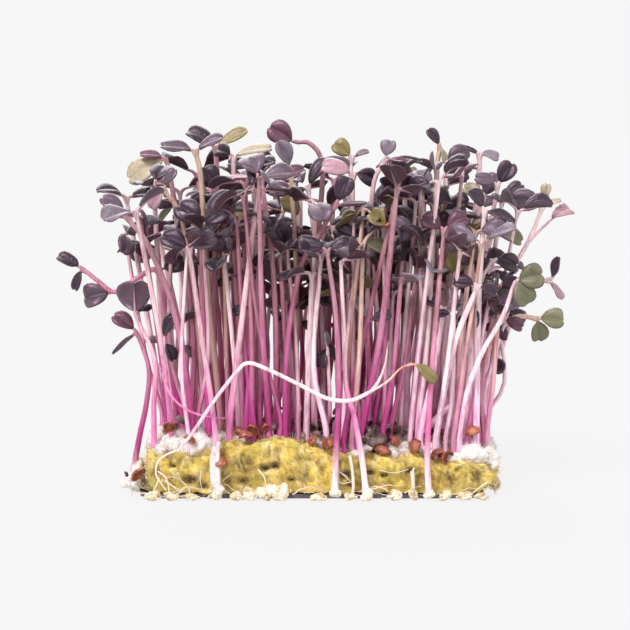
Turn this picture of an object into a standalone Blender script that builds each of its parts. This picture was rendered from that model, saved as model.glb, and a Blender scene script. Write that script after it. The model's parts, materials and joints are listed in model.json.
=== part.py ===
"""Radish microgreens on a fibre mat with a thin tray base.

The object's frame is metres, +Z up, the front towards -Y. The origin is the
middle of the tray base's underside. Sizes below are millimetres, and MM turns
them into metres where a mesh is made.
"""
import math
import random
from dataclasses import dataclass

import bmesh
import bpy
import numpy as np
from mathutils import Matrix, Vector

MM = 0.001
OBJECT_NAME = "radish_microgreens"
GAP = 0.3

# The tray base and the sheet of roots that lies on it
TRAY_LENGTH = 79.0
TRAY_DEPTH = 48.0
TRAY_THICKNESS = 1.0
TRAY_CORNER = 5.0
SHEET_LENGTH = 84.0
SHEET_DEPTH = 53.4
SHEET_THICKNESS = 0.6
SHEET_CORNER = 6.0
SHEET_FOOT = TRAY_THICKNESS + GAP

# The fibre mat
MAT_LEFT = -38.0
MAT_RIGHT = 42.2
MAT_HALF_DEPTH = 24.6
MAT_FOOT = SHEET_FOOT + SHEET_THICKNESS + GAP
MAT_INNER_TOP = 11.2
MAT_RIM_BEGINS = 13.0
MAT_CELLS = (14, 8, 2)
# Height of the mat's front rim along its length, as (x, height)
MAT_RIM = ((-38, 10.2), (-27, 10.0), (-21, 11.6), (-19, 13.6), (-14, 12.6), (-8, 14.6), (-3.5, 13.6),
           (2, 11.0), (8, 9.4), (13, 9.9), (19, 8.6), (23, 9.4), (30, 7.6), (36, 8.6), (42.2, 7.4))

# The root tufts, each in its own hole in the mat
TUFT_COLUMNS = 9
TUFT_PITCH = 8.75
TUFT_FIRST_X = -33.2
TUFT_ROWS = (-18.6, -6.2, 6.2, 18.6)
TUFT_RADIUS = 3.3
TUFT_HALF_HEIGHT = 2.4
TUFT_SUNK = 0.4
HOLE_HEIGHT = 20.0
TUFT_SIDES = 6
SLOTS = ((-1.9, -1.2), (1.9, -0.7), (-0.1, 1.9))

# The stems and leaves
STEM_RADIUS = 0.85
STEM_TAPER = 0.72
CROWN_HEIGHT = 0.9
STALK_ROOT = 0.45
ARM_LENGTH = 0.35
ARM_RADIUS = 0.42
LEAF_THICKNESS = 0.72
STALK_WIDTH = 0.95
HULL_RADII = (1.35, 1.15, 1.0)
HULL_ASIDE = 1.6
HULL_RISE = 1.9

# The room that a spot on a blade or a stem keeps round itself in the test that keeps them apart
BLADE_REACH = 1.08
STEM_REACH = 1.0
SHARED_HEIGHT = 23.0

# The eye that the front view is read from, and the depth where that view is true to size
VIEW_DISTANCE = 472.0
VIEW_FALL = math.tan(math.radians(5))
VIEW_HEIGHT = 42.0
VIEW_FRONT = -26.0

LEAF_COLOURS = {
    "dark": (0.06, 0.035, 0.055), "mauve": (0.26, 0.17, 0.22), "plum": (0.22, 0.08, 0.12),
    "green": (0.24, 0.27, 0.10), "olive": (0.33, 0.28, 0.08), "beige": (0.50, 0.43, 0.30),
    "silver": (0.38, 0.34, 0.37), "pink": (0.55, 0.28, 0.32),
}


@dataclass
class Leaf:
    """One blade with its stalk: angle in the front view, sizes, and how it is turned."""
    angle: float
    length: float
    width: float
    roll: float = 60.0
    stalk: float = 0.6
    curl: float = 14.0
    fold: float = 16.0
    swing: float = 0.0
    tone: str = "dark"
    at: tuple = None
    plain: bool = False


@dataclass
class Seedling:
    """A stem from its foot through its bends to its crown, as seen from the front."""
    foot: float
    row: int
    bends: tuple
    leaves: tuple


FEATURED = (
    Seedling(-36.5, 0, ((-35.7, 22), (-35.4, 32), (-39.6, 41.6)), (
        Leaf(92, 6.8, 8.6, 88, tone="mauve"), Leaf(50, 5, 4.6, 30, 1.5, swing=-60))),
    Seedling(-31, 1, ((-31.5, 28), (-33, 43), (-34.8, 52), (-39.5, 50.3), (-44.3, 47.3), (-48, 49.7),
                      (-51.3, 52.4)), (
        Leaf(150, 5.4, 4.4, 45), Leaf(248, 4.8, 3, 60, 0.4),
        Leaf(190, 6.0, 6.8, 70, 1.2, 25, 24, tone="mauve", at=(-44.3, 47.3)),
        Leaf(22, 5, 4.8, 75, 1.4, at=(-34.8, 52)))),
    Seedling(-27.3, 0, ((-28.3, 27), (-31, 43), (-36.6, 57.5), (-41.2, 63.7)), (
        Leaf(138, 6.4, 4.4, 50, tone="mauve"), Leaf(168, 4.2, 2.8, 12, 0.4))),
    Seedling(-30, 2, ((-31, 30), (-33, 48), (-36.2, 56.8)), (
        Leaf(160, 7.4, 3.8, 22, 1.0, 75), Leaf(100, 5.8, 4.8, 70, 1.4))),
    Seedling(-29, 3, ((-30, 40), (-34.8, 61.5)), (
        Leaf(58, 4.8, 3.2, 40, tone="green"), Leaf(8, 5.4, 4.2, 30, 0.6, 20))),
    Seedling(-26, 2, ((-27.5, 40), (-30.6, 66), (-32.5, 77)), (
        Leaf(207, 9.4, 6.8, 58, 0.8, 12, 10, tone="beige"), Leaf(172, 5.2, 4.4, 30, 0.8, 8, tone="plum"))),
    Seedling(-22, 1, ((-23.5, 50), (-24.8, 72), (-26, 78.6)), (
        Leaf(172, 7.2, 5.4, 32, 0.6, 5, tone="mauve"), Leaf(26, 6.2, 5.2, 30, 0.6, 5, tone="mauve"))),
    Seedling(-19.5, 2, ((-20.5, 50), (-21, 70), (-21.6, 79.3)), (
        Leaf(143, 6.8, 6.2, 42, 0.6, 25), Leaf(30, 7.6, 4.8, 42, 0.6, 8, tone="olive"))),
    Seedling(-25, 1, ((-26, 45), (-29.5, 64), (-33, 70)), (
        Leaf(236, 4.6, 3.6, 60, 0.4, tone="pink"), Leaf(62, 4.4, 3.4, 50, tone="mauve"))),
    Seedling(-16, 1, ((-16.5, 50), (-17.5, 70), (-17.6, 77.4)), (
        Leaf(14, 8.2, 4.8, 32, 0.6, 10, tone="beige"), Leaf(158, 5, 4.4, 55, swing=-40))),
    Seedling(-12, 2, ((-12, 50), (-13.4, 74.4)), (
        Leaf(163, 5, 4.8, 40), Leaf(38, 4.8, 5, 58))),
    Seedling(-8, 0, ((-8.5, 50), (-11.3, 72.6)), (
        Leaf(12, 6.2, 5.6, 42, tone="mauve"), Leaf(184, 8.2, 3.6, 12, 0.5, 0, tone="pink"))),
    Seedling(-24, 0, ((-24.5, 45), (-24.8, 61.6)), (
        Leaf(132, 6.4, 6.2, 70, 0.6, 30), Leaf(38, 6, 6, 60, 0.8, 25))),
    Seedling(-21.5, 1, ((-21.8, 50), (-21.8, 69.2)), (
        Leaf(110, 5.6, 5.4, 72), Leaf(200, 5.4, 5, 40, 0.6, 25))),
    Seedling(-13, 0, ((-12.6, 45), (-10.2, 64.4)), (
        Leaf(163, 7, 5.6, 25, 0.5, 22), Leaf(-55, 7, 6, 70, 0.5, 22))),
    Seedling(-1, 2, ((0, 45), (2.2, 70), (2.0, 77.2), (-0.6, 80.6), (-3.6, 80.8)), (
        Leaf(146, 6.2, 6.4, 82, 0.3, 8, tone="plum"),
        Leaf(-12, 6, 4.4, 35, 0.6, tone="mauve", at=(2.1, 76)))),
    Seedling(-4, 1, ((-3.5, 50), (-4.8, 74.6)), (
        Leaf(118, 6.2, 5.2, 66, 0.4, -10, 40, tone="silver"), Leaf(196, 4.6, 3.8, 35, tone="mauve"))),
    Seedling(-6, 3, ((-6.2, 50), (-8.6, 71)), (
        Leaf(31, 7.6, 4.8, 48, tone="plum"), Leaf(170, 5, 4.6, 30))),
    Seedling(7, 2, ((7.5, 50), (8.8, 77.1)), (
        Leaf(140, 4.8, 4.8, 70, 0.3, tone="olive"), Leaf(22, 3.4, 2.6, 40, tone="silver"))),
    Seedling(-6.5, 0, ((-5.6, 35), (-2.6, 52.5), (1.2, 59.2), (5.2, 66.6)), (
        Leaf(66, 5.6, 4.8, 78, 0.8, 8), Leaf(-3, 6, 3.4, 12, 0.6, -10, tone="mauve"))),
    Seedling(9, 1, ((8.5, 45), (9.2, 73.6)), (
        Leaf(166, 6.6, 5.6, 45, 0.5, tone="pink"), Leaf(-12, 5, 4.6, 70, 0.5, 60))),
    Seedling(2.5, 1, ((2, 45), (-0.8, 70.4)), (
        Leaf(62, 7.2, 4.6, 50, 0.5, 24), Leaf(205, 5.4, 4.8, 40))),
    Seedling(13, 1, ((12.5, 45), (13.5, 69.5), (16.2, 76.8)), (
        Leaf(76, 3.8, 4.2, 65, 0.3, tone="silver"), Leaf(-34, 5.4, 5.4, 75, 0.3, tone="plum"))),
    Seedling(19, 2, ((19.5, 50), (18, 76.6)), (
        Leaf(-3, 6.2, 4.6, 20, 0.3, 10), Leaf(200, 4.6, 4, 40, swing=-50))),
    Seedling(22, 1, ((21.6, 45), (20.6, 73.2)), (
        Leaf(-18, 6.2, 5.4, 60, 0.4, 15, tone="silver"), Leaf(215, 5, 4.6, 60))),
    Seedling(27, 2, ((27.3, 50), (27.9, 74), (28.6, 79.6)), (
        Leaf(125, 4.4, 3, 65, 0.2, 5), Leaf(-70, 4, 2.8, 40, 0.4, tone="beige"))),
    Seedling(30, 2, ((30, 50), (30, 68), (29.8, 75.8)), (
        Leaf(32, 5.4, 4.8, 65, 0.4, tone="mauve"), Leaf(-5, 7, 3.4, 16, 0.4, tone="silver"))),
    Seedling(35, 2, ((35, 50), (37.2, 72), (37.4, 78)), (
        Leaf(162, 4.4, 2.6, 30, 0.2, 5), Leaf(-12, 4.2, 3.8, 42, 0.2, tone="silver"))),
    Seedling(33, 1, ((34.5, 50), (36.3, 62), (38.3, 68)), (
        Leaf(62, 5.4, 5, 55, tone="mauve"), Leaf(150, 4.4, 3.8, 60, tone="beige"))),
    Seedling(36, 1, ((37, 45), (40, 62), (41.6, 71)), (
        Leaf(58, 5.2, 5, 76, 0.3, 8, 24), Leaf(160, 4.6, 4.4, 50, tone="mauve"))),
    Seedling(38, 3, ((39, 45), (42.6, 67.6)), (
        Leaf(42, 5.2, 4.4, 55), Leaf(188, 5.2, 4.4, 45))),
    Seedling(37, 1, ((39.5, 35), (44, 50), (48.6, 58.8), (51.6, 66.2)), (
        Leaf(164, 6.8, 6.4, 66, 0.3, tone="mauve"), Leaf(80, 3.8, 3, 60, 1.2, 5, tone="beige"),
        Leaf(22, 3.4, 2.4, 40, tone="beige"),
        Leaf(44, 7.2, 4.2, 60, 7.2, 100, tone="pink", at=(48.6, 58.8)))),
    Seedling(37, 0, ((37.5, 45), (38.6, 65.2)), (
        Leaf(-17, 6.8, 4.6, 32, 0.4, 15), Leaf(120, 4.6, 4, 55))),
    Seedling(34, 1, ((35.5, 40), (40.6, 61)), (
        Leaf(-22, 6.6, 5, 46, 0.4, 10, tone="green"), Leaf(178, 5, 4.4, 50))),
    Seedling(35, 0, ((36, 36), (38, 50), (40.6, 54.4)), (
        Leaf(-14, 5.0, 4.8, 62, 0.4, 12), Leaf(205, 5, 4.4, 50))),
    Seedling(33, 0, ((34.8, 24), (38.3, 33.5), (42.8, 41.5), (45.6, 49.6)), (
        Leaf(12, 5.6, 6.2, 80, 0.4, 8, tone="green"), Leaf(-62, 5.4, 5.6, 75, 0.4, tone="green"))),
    Seedling(41, 2, ((42, 33), (46, 44), (50, 49.4), (53.2, 49.9)), (
        Leaf(64, 5.2, 3.4, 38, 0.4, -25, tone="mauve"), Leaf(-66, 4.6, 3.2, 38, 0.4, -20, tone="pink"))),
    Seedling(39, 1, ((40, 28), (42, 38), (45.8, 41.6), (50.4, 41.4)), (
        Leaf(-2, 5.4, 5.2, 70, 0.3, tone="green"), Leaf(-86, 4.8, 5, 66, 0.3, tone="green"))),
    Seedling(37, 0, ((38, 28), (40, 37), (42.8, 41)), (
        Leaf(-24, 4.4, 3.6, 60, 0.3, tone="plum"), Leaf(100, 4.4, 3.6, 50))),
    Seedling(31, 0, ((32, 35), (37.2, 48.6)), (
        Leaf(-25, 4, 3.2, 60, 0.3), Leaf(170, 4.6, 4, 50))),
    Seedling(27, 0, ((27.6, 30), (29.6, 43.2)), (
        Leaf(8, 4.6, 3.4, 50, 0.3, 6, tone="silver"), Leaf(150, 4, 3.4, 50))),
    Seedling(36.5, 0, ((36.4, 26), (36.2, 38.6)), (
        Leaf(78, 4.6, 3.8, 70, 0.3, 6), Leaf(200, 3.6, 3, 60))),
)

# Seedlings whose root runs down the mat's front face: how far back they lean, the bends, the leaves
FRONT_ROOT_Y = -27.0
FRONT_FACE_TOP = 14.5
FRONT_SEEDLINGS = (
    (5.0, (-21.4, 1.6), (-21.6, 12), (-22.6, 22), (-24.8, 37), (-27.4, 56.5),
     (Leaf(150, 6, 5.6, 60, 0.6, 20), Leaf(28, 5.6, 5.4, 55, 0.6, 20, tone="mauve"))),
    (2.5, (5.2, 1.6), (5.5, 12), (6.1, 25), (5.4, 42), (3.4, 56.5),
     (Leaf(168, 6, 5.4, 50, 0.6, 20), Leaf(8, 5.8, 5.4, 50, 0.6, 20))),
    (10.0, (12.3, 1.6), (11.4, 9), (9.8, 18), (7.4, 31), (10.8, 58.5),
     (Leaf(152, 5.6, 5.4, 55, 0.6, 20), Leaf(-18, 6.4, 4.8, 45, 0.6, 10, tone="green"))),
    (5.0, (26.5, 1.6), (26.1, 9), (26.4, 19), (27.4, 35), (29.6, 61.0),
     (Leaf(150, 4.8, 5.2, 60, 0.5, 14, tone="plum"), Leaf(30, 5.2, 5.2, 60, 0.5, 14, tone="plum"))),
)

# The seedling at the left end, on its root mass beside the mat
LEFT_MASS = ((-41.4, -14.0, 5.5), (2.3, 6.4, 4.1))
LEFT_PATH = ((-40.6, 6), (-38.9, 15), (-37.4, 22), (-36.8, 30), (-39.3, 38.0))
LEFT_LEAVES = (Leaf(142, 5.6, 5, 50, 0.6, 15, tone="plum"), Leaf(222, 6.6, 1.8, 40, 0.8, 5))

# The fallen white seedling across the front, with its fork
FALLEN_Y = -28.6
FALLEN_PATH = ((-30.6, 10.6), (-27.2, 15), (-21.8, 23), (-17.6, 28.4), (-14.6, 31.2), (-10, 29.8), (-3, 26.4),
               (2.4, 23.6), (6, 22.7), (9.4, 22.9), (13.5, 24.9))
FALLEN_FORK = ((13.5, 24.9), (15.2, 27.4), (16.5, 31), (17.2, 36.2))
FALLEN_ARM = ((13.5, 24.9), (17, 27), (20, 30), (22.6, 31.2))
FALLEN_LEAF = Leaf(-40, 5.8, 3.2, 60, 0.4, 10, tone="olive")

# The knobs of root along the foot: (x, half width, height) at the front, and a rule for the other sides
FRONT_KNOBS = ((-36, 1.8, 2.2), (-32, 2.0, 2.0), (-27.5, 1.6, 1.8), (-17.4, 1.7, 2.4), (-13.8, 1.9, 3.2),
               (-10.4, 1.8, 3.5), (-7, 1.9, 3.6), (1.2, 1.8, 1.9), (8.6, 1.4, 1.9), (18.9, 1.5, 2.7),
               (22.9, 1.2, 3.4), (30.2, 1.5, 2.3), (34.6, 1.9, 2.0), (38.4, 1.6, 1.8))
KNOB_Y = -27.0
KNOB_X = 42.6
KNOB_DEPTH = 1.25
KNOB_SPACING = 11.4
HULL_EVERY = 3

# How far a featured seedling may root from its foot in the front view, what a row's shift counts for,
# and the leans in depth that it tries
FOOT_REACH = 13.0
ROW_COST = 7.0
PLACES_TRIED = 14
LEANS = (0, 3.5, -3.5, 7, -7)
FOOT_RISE = 0.3
UPRIGHT = 5.0

# The filling seedlings, drawn by a seeded rule
SEED = 41
FILL_TRIES = 60
FILL_CROWNS = (47.0, 73.0)
FILL_TONES = ("dark", "dark", "dark", "mauve", "plum", "green", "silver")


def curve_through(knots, count):
    """Points on a Catmull-Rom curve through the knots, evenly spread over its spans."""
    knots = np.array(knots, dtype=float)
    padded = np.vstack([2 * knots[0] - knots[1], knots, 2 * knots[-1] - knots[-2]])
    points = []
    for step in np.linspace(0, len(knots) - 1, count):
        span = min(int(step), len(knots) - 2)
        t = step - span
        p0, p1, p2, p3 = padded[span:span + 4]
        points.append(0.5 * (2 * p1 + (p2 - p0) * t + (2 * p0 - 5 * p1 + 4 * p2 - p3) * t ** 2
                             + (3 * p1 - p0 - 3 * p2 + p3) * t ** 3))
    return np.array(points)


def sighted(x, z, y):
    """The place at depth y that the front view shows at (x, z)."""
    behind = y - VIEW_FRONT
    spread = 1 + behind / VIEW_DISTANCE
    return np.array([x * spread, y, VIEW_HEIGHT + (z - VIEW_HEIGHT) * spread - behind * VIEW_FALL])


def mat_top(x, y):
    """Height of the mat's upper side: a level bed with a lumpy front rim."""
    rim = np.interp(x, [p[0] for p in MAT_RIM], [p[1] for p in MAT_RIM])
    bed = MAT_INNER_TOP - 2.4 * max(0.0, (x - 24) / 18) + 0.5 * math.sin(0.55 * x + 1.7 * math.sin(0.3 * y))
    share = min(1.0, max(0.0, (y + MAT_HALF_DEPTH) / MAT_RIM_BEGINS))
    share = share * share * (3 - 2 * share)
    return float(rim * (1 - share) + bed * share + 0.35 * math.sin(1.1 * y + 0.8 * x))


def tuft_places():
    """The tufts' centres, row by row, each row shifted a little from the last."""
    places = []
    for row, y in enumerate(TUFT_ROWS):
        for column in range(TUFT_COLUMNS):
            x = TUFT_FIRST_X + TUFT_PITCH * column + (1.1 if row % 2 else -1.1)
            places.append((row, x, y + 0.9 * math.sin(2.1 * column + row)))
    return places


def leaf_frame(leaf, viewed=True):
    """Directions along, across and out of the blade's upper face at its base."""
    a, t = math.radians(leaf.angle), math.radians(leaf.swing)
    if viewed:
        along = Vector((math.cos(a) * math.cos(t), -math.sin(t), math.sin(a) * math.cos(t)))
    else:
        along = Vector((math.cos(a) * math.cos(t), math.sin(a) * math.cos(t), math.sin(t)))
    side = Vector((0, 0, 1)).cross(along)
    side = side.normalized() if side.length > 0.05 else Vector((0, 1, 0))
    facing = 1 if along.x >= 0 or not viewed else -1
    side.rotate(Matrix.Rotation(math.radians(leaf.roll) * facing, 3, along))
    return along, side, along.cross(side)


def leaf_point(base, frame, leaf, s, v):
    """A point of the blade's middle surface: s along it from its base, v across from -1 to 1."""
    along, side, out = frame
    start = Vector(base) + along * leaf.stalk
    if s < 0:
        return start + along * (s * leaf.stalk) + side * (v * STALK_WIDTH / 2)
    turn = math.radians(leaf.curl) * s
    if abs(turn) > 0.001:
        reach = leaf.length * s * math.sin(turn) / turn
        drop = leaf.length * s * (1 - math.cos(turn)) / turn
    else:
        reach, drop = leaf.length * s, 0.0
    lift = out * math.cos(turn) + along * math.sin(turn)
    fold = math.radians(leaf.fold)
    half = v * leaf.width / 2
    lobe = side * (half * math.cos(fold)) + lift * (abs(half) * math.sin(fold))
    return start + along * reach - out * drop + lobe


# Half of the blade's outline, from its base to the top of a lobe, as (along, across)
BLADE_SIDE = ((0.0, 0.13), (0.3, 0.80), (0.7, 1.0), (1.0, 0.5))
PLAIN_SIDE = ((0.0, 0.13), (0.45, 0.98), (0.96, 0.62))
BLADE_NOTCH = (0.86, 0.0)
BLADE_MIDDLE = (0.45, 0.0)


def leaf_normal(frame, leaf, s, v):
    """The way out of the blade's upper face at a point of it."""
    along, side, out = frame
    turn = math.radians(leaf.curl) * max(0.0, s)
    lift = out * math.cos(turn) + along * math.sin(turn)
    fold = math.radians(leaf.fold)
    if abs(v) < 0.01:
        return lift / math.cos(fold)
    return lift * math.cos(fold) - side * (math.copysign(1, v) * math.sin(fold))


def leaf_samples(base, frame, leaf):
    """Places on the blade for the test that keeps leaves and stems apart."""
    spots = []
    for s in (0.1, 0.35, 0.62, 0.92):
        for v in (-0.8, -0.3, 0.3, 0.8):
            spots.append(leaf_point(base, frame, leaf, s, v * (0.4 + 0.6 * min(1, s / 0.35))))
    for part in range(int(leaf.stalk / 1.2)):
        spots.append(leaf_point(base, frame, leaf, -(part + 0.5) * 1.2 / leaf.stalk, 0))
    return spots


def plan_seedling(path, leaves, viewed=True):
    """A seedling worked out in space: its path, and each leaf with its base and frame."""
    blades = []
    crown = Vector(path[-1]) + Vector(path[-1] - path[-2]).normalized() * (CROWN_HEIGHT / 2)
    for leaf in leaves:
        frame = leaf_frame(leaf, viewed)
        base = crown
        if leaf.at:
            nearest = min(range(len(path)), key=lambda i: math.dist((path[i][0], path[i][2]), leaf.at))
            base = Vector(path[nearest])
        blades.append((leaf, base + frame[0] * STALK_ROOT, frame))
    dense = curve_through(path, max(8, int(len(path) * 8)))
    spots = [dense]
    reaches = [np.full(len(dense), STEM_REACH)]
    for leaf, base, frame in blades:
        points = leaf_samples(base, frame, leaf)
        spots.append(np.array(points))
        reaches.append(np.full(len(points), BLADE_REACH))
    return {"path": path, "blades": blades, "spots": np.vstack(spots), "reaches": np.concatenate(reaches)}


def clearance(plan, owner, placed):
    """The least space between a planned seedling and those already placed, below zero where they meet."""
    low, high = plan["spots"].min(axis=0) - 3, plan["spots"].max(axis=0) + 3
    least = 9.0
    for other_owner, other in placed:
        near = np.all((other["spots"] > low) & (other["spots"] < high), axis=1)
        if other_owner == owner:
            near &= other["spots"][:, 2] > SHARED_HEIGHT
        if not near.any():
            continue
        spots, reaches = other["spots"][near], other["reaches"][near]
        apart = np.sqrt(((plan["spots"][:, None, :] - spots[None, :, :]) ** 2).sum(axis=2))
        apart -= plan["reaches"][:, None] + reaches[None, :]
        least = min(least, float(apart.min()))
    return least


def rooted_path(foot_xyz, bends, crown_y):
    """A stem's path from its tuft through its bends, with depth turning evenly from foot to crown."""
    top = max(z for x, z in bends)
    points = [foot_xyz, foot_xyz + np.array([0, 0, UPRIGHT])]
    for x, z in bends:
        share = min(1.0, max(0.0, (z - foot_xyz[2]) / (top - foot_xyz[2])))
        points.append(sighted(x, z, foot_xyz[1] + (crown_y - foot_xyz[1]) * share))
    return np.array(points)


def free_places(row_order, foot, used, tufts):
    """Open slots in the tufts of the wanted rows, nearest first."""
    found = []
    for rank, row in enumerate(row_order):
        for index, (tuft_row, x, y) in enumerate(tufts):
            if tuft_row != row:
                continue
            for slot, (dx, dy) in enumerate(SLOTS):
                if (index, slot) not in used and abs(x + dx - foot) < FOOT_REACH:
                    found.append((abs(x + dx - foot) + ROW_COST * rank, index, slot, x + dx, y + dy))
    return sorted(found)


def place_featured(placed, used, tufts):
    """Gives each featured seedling the nearest slot and depth where it is clear of the rest."""
    for seedling in FEATURED:
        rows = sorted(range(len(TUFT_ROWS)), key=lambda row: abs(row - seedling.row))
        best = None
        for cost, index, slot, x, y in free_places(rows, seedling.foot, used, tufts)[:PLACES_TRIED]:
            foot = np.array([x, y, mat_top(*tufts[index][1:]) + FOOT_RISE])
            for lean in LEANS:
                plan = plan_seedling(rooted_path(foot, seedling.bends, y + lean), seedling.leaves)
                space = min(GAP, clearance(plan, index, placed))
                if best is None or space > best[0] + 0.001:
                    best = (space, index, slot, plan)
            if best[0] >= GAP:
                break
        space, index, slot, plan = best
        used.add((index, slot))
        placed.append((index, plan))


def random_leaves(draw, tone):
    heading = draw.uniform(0, 360)
    leaves = []
    for turn in (0, 180):
        leaves.append(Leaf(heading + turn + draw.uniform(-25, 25), length=draw.uniform(5.6, 7.2),
                           width=draw.uniform(5.6, 7.4), roll=draw.uniform(-35, 35),
                           stalk=draw.uniform(0.5, 2.4), curl=draw.uniform(5, 45), fold=draw.uniform(8, 28),
                           swing=draw.uniform(-20, 50), tone=tone, plain=True))
    return tuple(leaves)


def place_filling(placed, used, tufts):
    """Fills the slots that are left with seedlings drawn until each one is clear of the rest."""
    draw = random.Random(SEED)
    for index, (row, tuft_x, tuft_y) in enumerate(tufts):
        for slot, (dx, dy) in enumerate(SLOTS):
            if (index, slot) in used:
                continue
            x, y = tuft_x + dx, tuft_y + dy
            foot = np.array([x, y, mat_top(tuft_x, tuft_y) + FOOT_RISE])
            for attempt in range(FILL_TRIES):
                height = draw.uniform(*FILL_CROWNS)
                spread = (height - 20) / 50
                crown = np.array([x * (1 + 0.16 * spread) + draw.gauss(0, 3.6 * spread),
                                  y * (1 + 0.25 * spread) + draw.gauss(0, 3.6 * spread), height])
                middle = (foot * 0.55 + crown * 0.45) + np.array([draw.gauss(0, 0.9), draw.gauss(0, 0.9), 0])
                path = np.array([foot, foot + np.array([0, 0, UPRIGHT]), middle, crown])
                plan = plan_seedling(path, random_leaves(draw, draw.choice(FILL_TONES)), viewed=False)
                if clearance(plan, index, placed) >= GAP:
                    used.add((index, slot))
                    placed.append((index, plan))
                    break


def plan_edge_seedlings():
    """The left, fallen and front seedlings, whose places are given."""
    plans = {}
    left_y = LEFT_MASS[0][1]
    plans["left_seedling"] = plan_seedling(
        np.array([sighted(x, z, left_y) for x, z in LEFT_PATH]), LEFT_LEAVES)
    arm = np.array([sighted(x, z, FALLEN_Y) for x, z in FALLEN_PATH + FALLEN_ARM[1:]])
    arm[0][1] += 3.4
    arm[1][1] += 0.9
    plans["fallen_seedling"] = plan_seedling(arm, (FALLEN_LEAF,))
    for number, (lean, *knots, leaves) in enumerate(FRONT_SEEDLINGS, start=1):
        path = []
        for x, z in knots:
            behind = max(0.0, z - FRONT_FACE_TOP) / (60 - FRONT_FACE_TOP)
            path.append(sighted(x, z, FRONT_ROOT_Y + lean * behind))
        plans[f"front_seedling_{number}"] = plan_seedling(np.array(path), leaves)
    return plans


def grow():
    """All the seedlings in order, with the tuft or the node that each one belongs to."""
    tufts = tuft_places()
    placed, used = [], set()
    for name, plan in plan_edge_seedlings().items():
        placed.append((name, plan))
    place_featured(placed, used, tufts)
    place_filling(placed, used, tufts)
    return tufts, placed


def plain_material(name, colour, roughness):
    material = bpy.data.materials.new(name)
    material.use_nodes = True
    shader = material.node_tree.nodes["Principled BSDF"]
    shader.inputs["Base Color"].default_value = (*colour, 1)
    shader.inputs["Roughness"].default_value = roughness
    shader.inputs["Metallic"].default_value = 0.0
    material.diffuse_color = (*colour, 1)
    return material


def add_object(name, data, collection):
    obj = bpy.data.objects.new(name, data)
    collection.objects.link(obj)
    return obj


def mesh_from_curve(name, curve, collection):
    """A closed mesh from a curve, with its loose caps welded."""
    holder = add_object(name + "_curve", curve, collection)
    bpy.context.view_layer.update()
    evaluated = holder.evaluated_get(bpy.context.evaluated_depsgraph_get())
    mesh = bpy.data.meshes.new_from_object(evaluated)
    bm = bmesh.new()
    bm.from_mesh(mesh)
    bmesh.ops.remove_doubles(bm, verts=bm.verts, dist=0.01 * MM)
    bmesh.ops.recalc_face_normals(bm, faces=bm.faces)
    bm.to_mesh(mesh)
    bm.free()
    obj = add_object(name, mesh, collection)
    obj.matrix_world = holder.matrix_world
    bpy.data.objects.remove(holder)
    return obj


def add_blade(bm, leaf, base, frame, root):
    """Grows a stalk and a thin closed blade out of the four corners of a removed face."""
    half = PLAIN_SIDE if leaf.plain else BLADE_SIDE
    outline = [(s, -v) for s, v in half] + [BLADE_NOTCH] + [(s, v) for s, v in reversed(half)]
    sheets = []
    for off in (LEAF_THICKNESS / 2, -LEAF_THICKNESS / 2):
        points = [leaf_point(base, frame, leaf, s, v) + leaf_normal(frame, leaf, s, v) * off
                  for s, v in outline + [BLADE_MIDDLE]]
        sheets.append([bm.verts.new(point * MM) for point in points])
    (*upper, upper_middle), (*lower, lower_middle) = sheets
    for here in range(len(outline)):
        there = (here + 1) % len(outline)
        bm.faces.new((upper_middle, upper[here], upper[there]))
        bm.faces.new((lower_middle, lower[there], lower[here]))
        if there:
            bm.faces.new((upper[here], lower[here], lower[there], upper[there]))
    ring = [upper[-1], upper[0], lower[0], lower[-1]]
    turns = [ring[k:] + ring[:k] for k in range(4)]
    ring = min(turns, key=lambda verts: sum((a.co - b.co).length for a, b in zip(root, verts)))
    for k in range(4):
        bm.faces.new((root[k], root[(k + 1) % 4], ring[(k + 1) % 4], ring[k]))


def seedling_object(name, points, radii, blades, collection):
    """A four-sided stem drawn out along its points, with a leaf drawn out of each side of its crown."""
    points = [Vector(point) for point in points]
    points.append(points[-1] + (points[-1] - points[-2]).normalized() * CROWN_HEIGHT)
    radii = list(radii) + [radii[-1]]
    pointer = blades[0][2][0] if blades else Vector((1, 0, 0))
    bm = bmesh.new()
    rings = []
    for number, (point, radius) in enumerate(zip(points, radii)):
        before, after = points[max(0, number - 1)], points[min(len(points) - 1, number + 1)]
        tangent = (after - before).normalized()
        aim = pointer - tangent * pointer.dot(tangent)
        if aim.length < 0.3:
            aim = Vector((0, 1, 0)) - tangent * tangent.y
        aim.normalize()
        pointer = aim if number < len(points) - 2 else pointer
        wing = tangent.cross(aim)
        corners = (aim + wing, -aim + wing, -aim - wing, aim - wing)
        rings.append([bm.verts.new((point + corner * (radius * 0.8)) * MM) for corner in corners])
    bm.faces.new(reversed(rings[0]))
    free = [bm.faces.new(rings[-1])]
    for low, high in zip(rings, rings[1:]):
        sides = [bm.faces.new((low[k], low[(k + 1) % 4], high[(k + 1) % 4], high[k])) for k in range(4)]
    free += sides
    for leaf, base, frame in blades:
        for face in free:
            face.normal_update()
        root = max(free, key=lambda face: face.normal.dot(frame[0]))
        free.remove(root)
        corners = list(root.verts)
        bm.faces.remove(root)
        add_blade(bm, leaf, base, frame, corners)
    bmesh.ops.triangulate(bm, faces=[face for face in bm.faces if len(face.verts) > 3])
    mesh = bpy.data.meshes.new(name)
    bm.to_mesh(mesh)
    bm.free()
    return add_object(name, mesh, collection)


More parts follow.
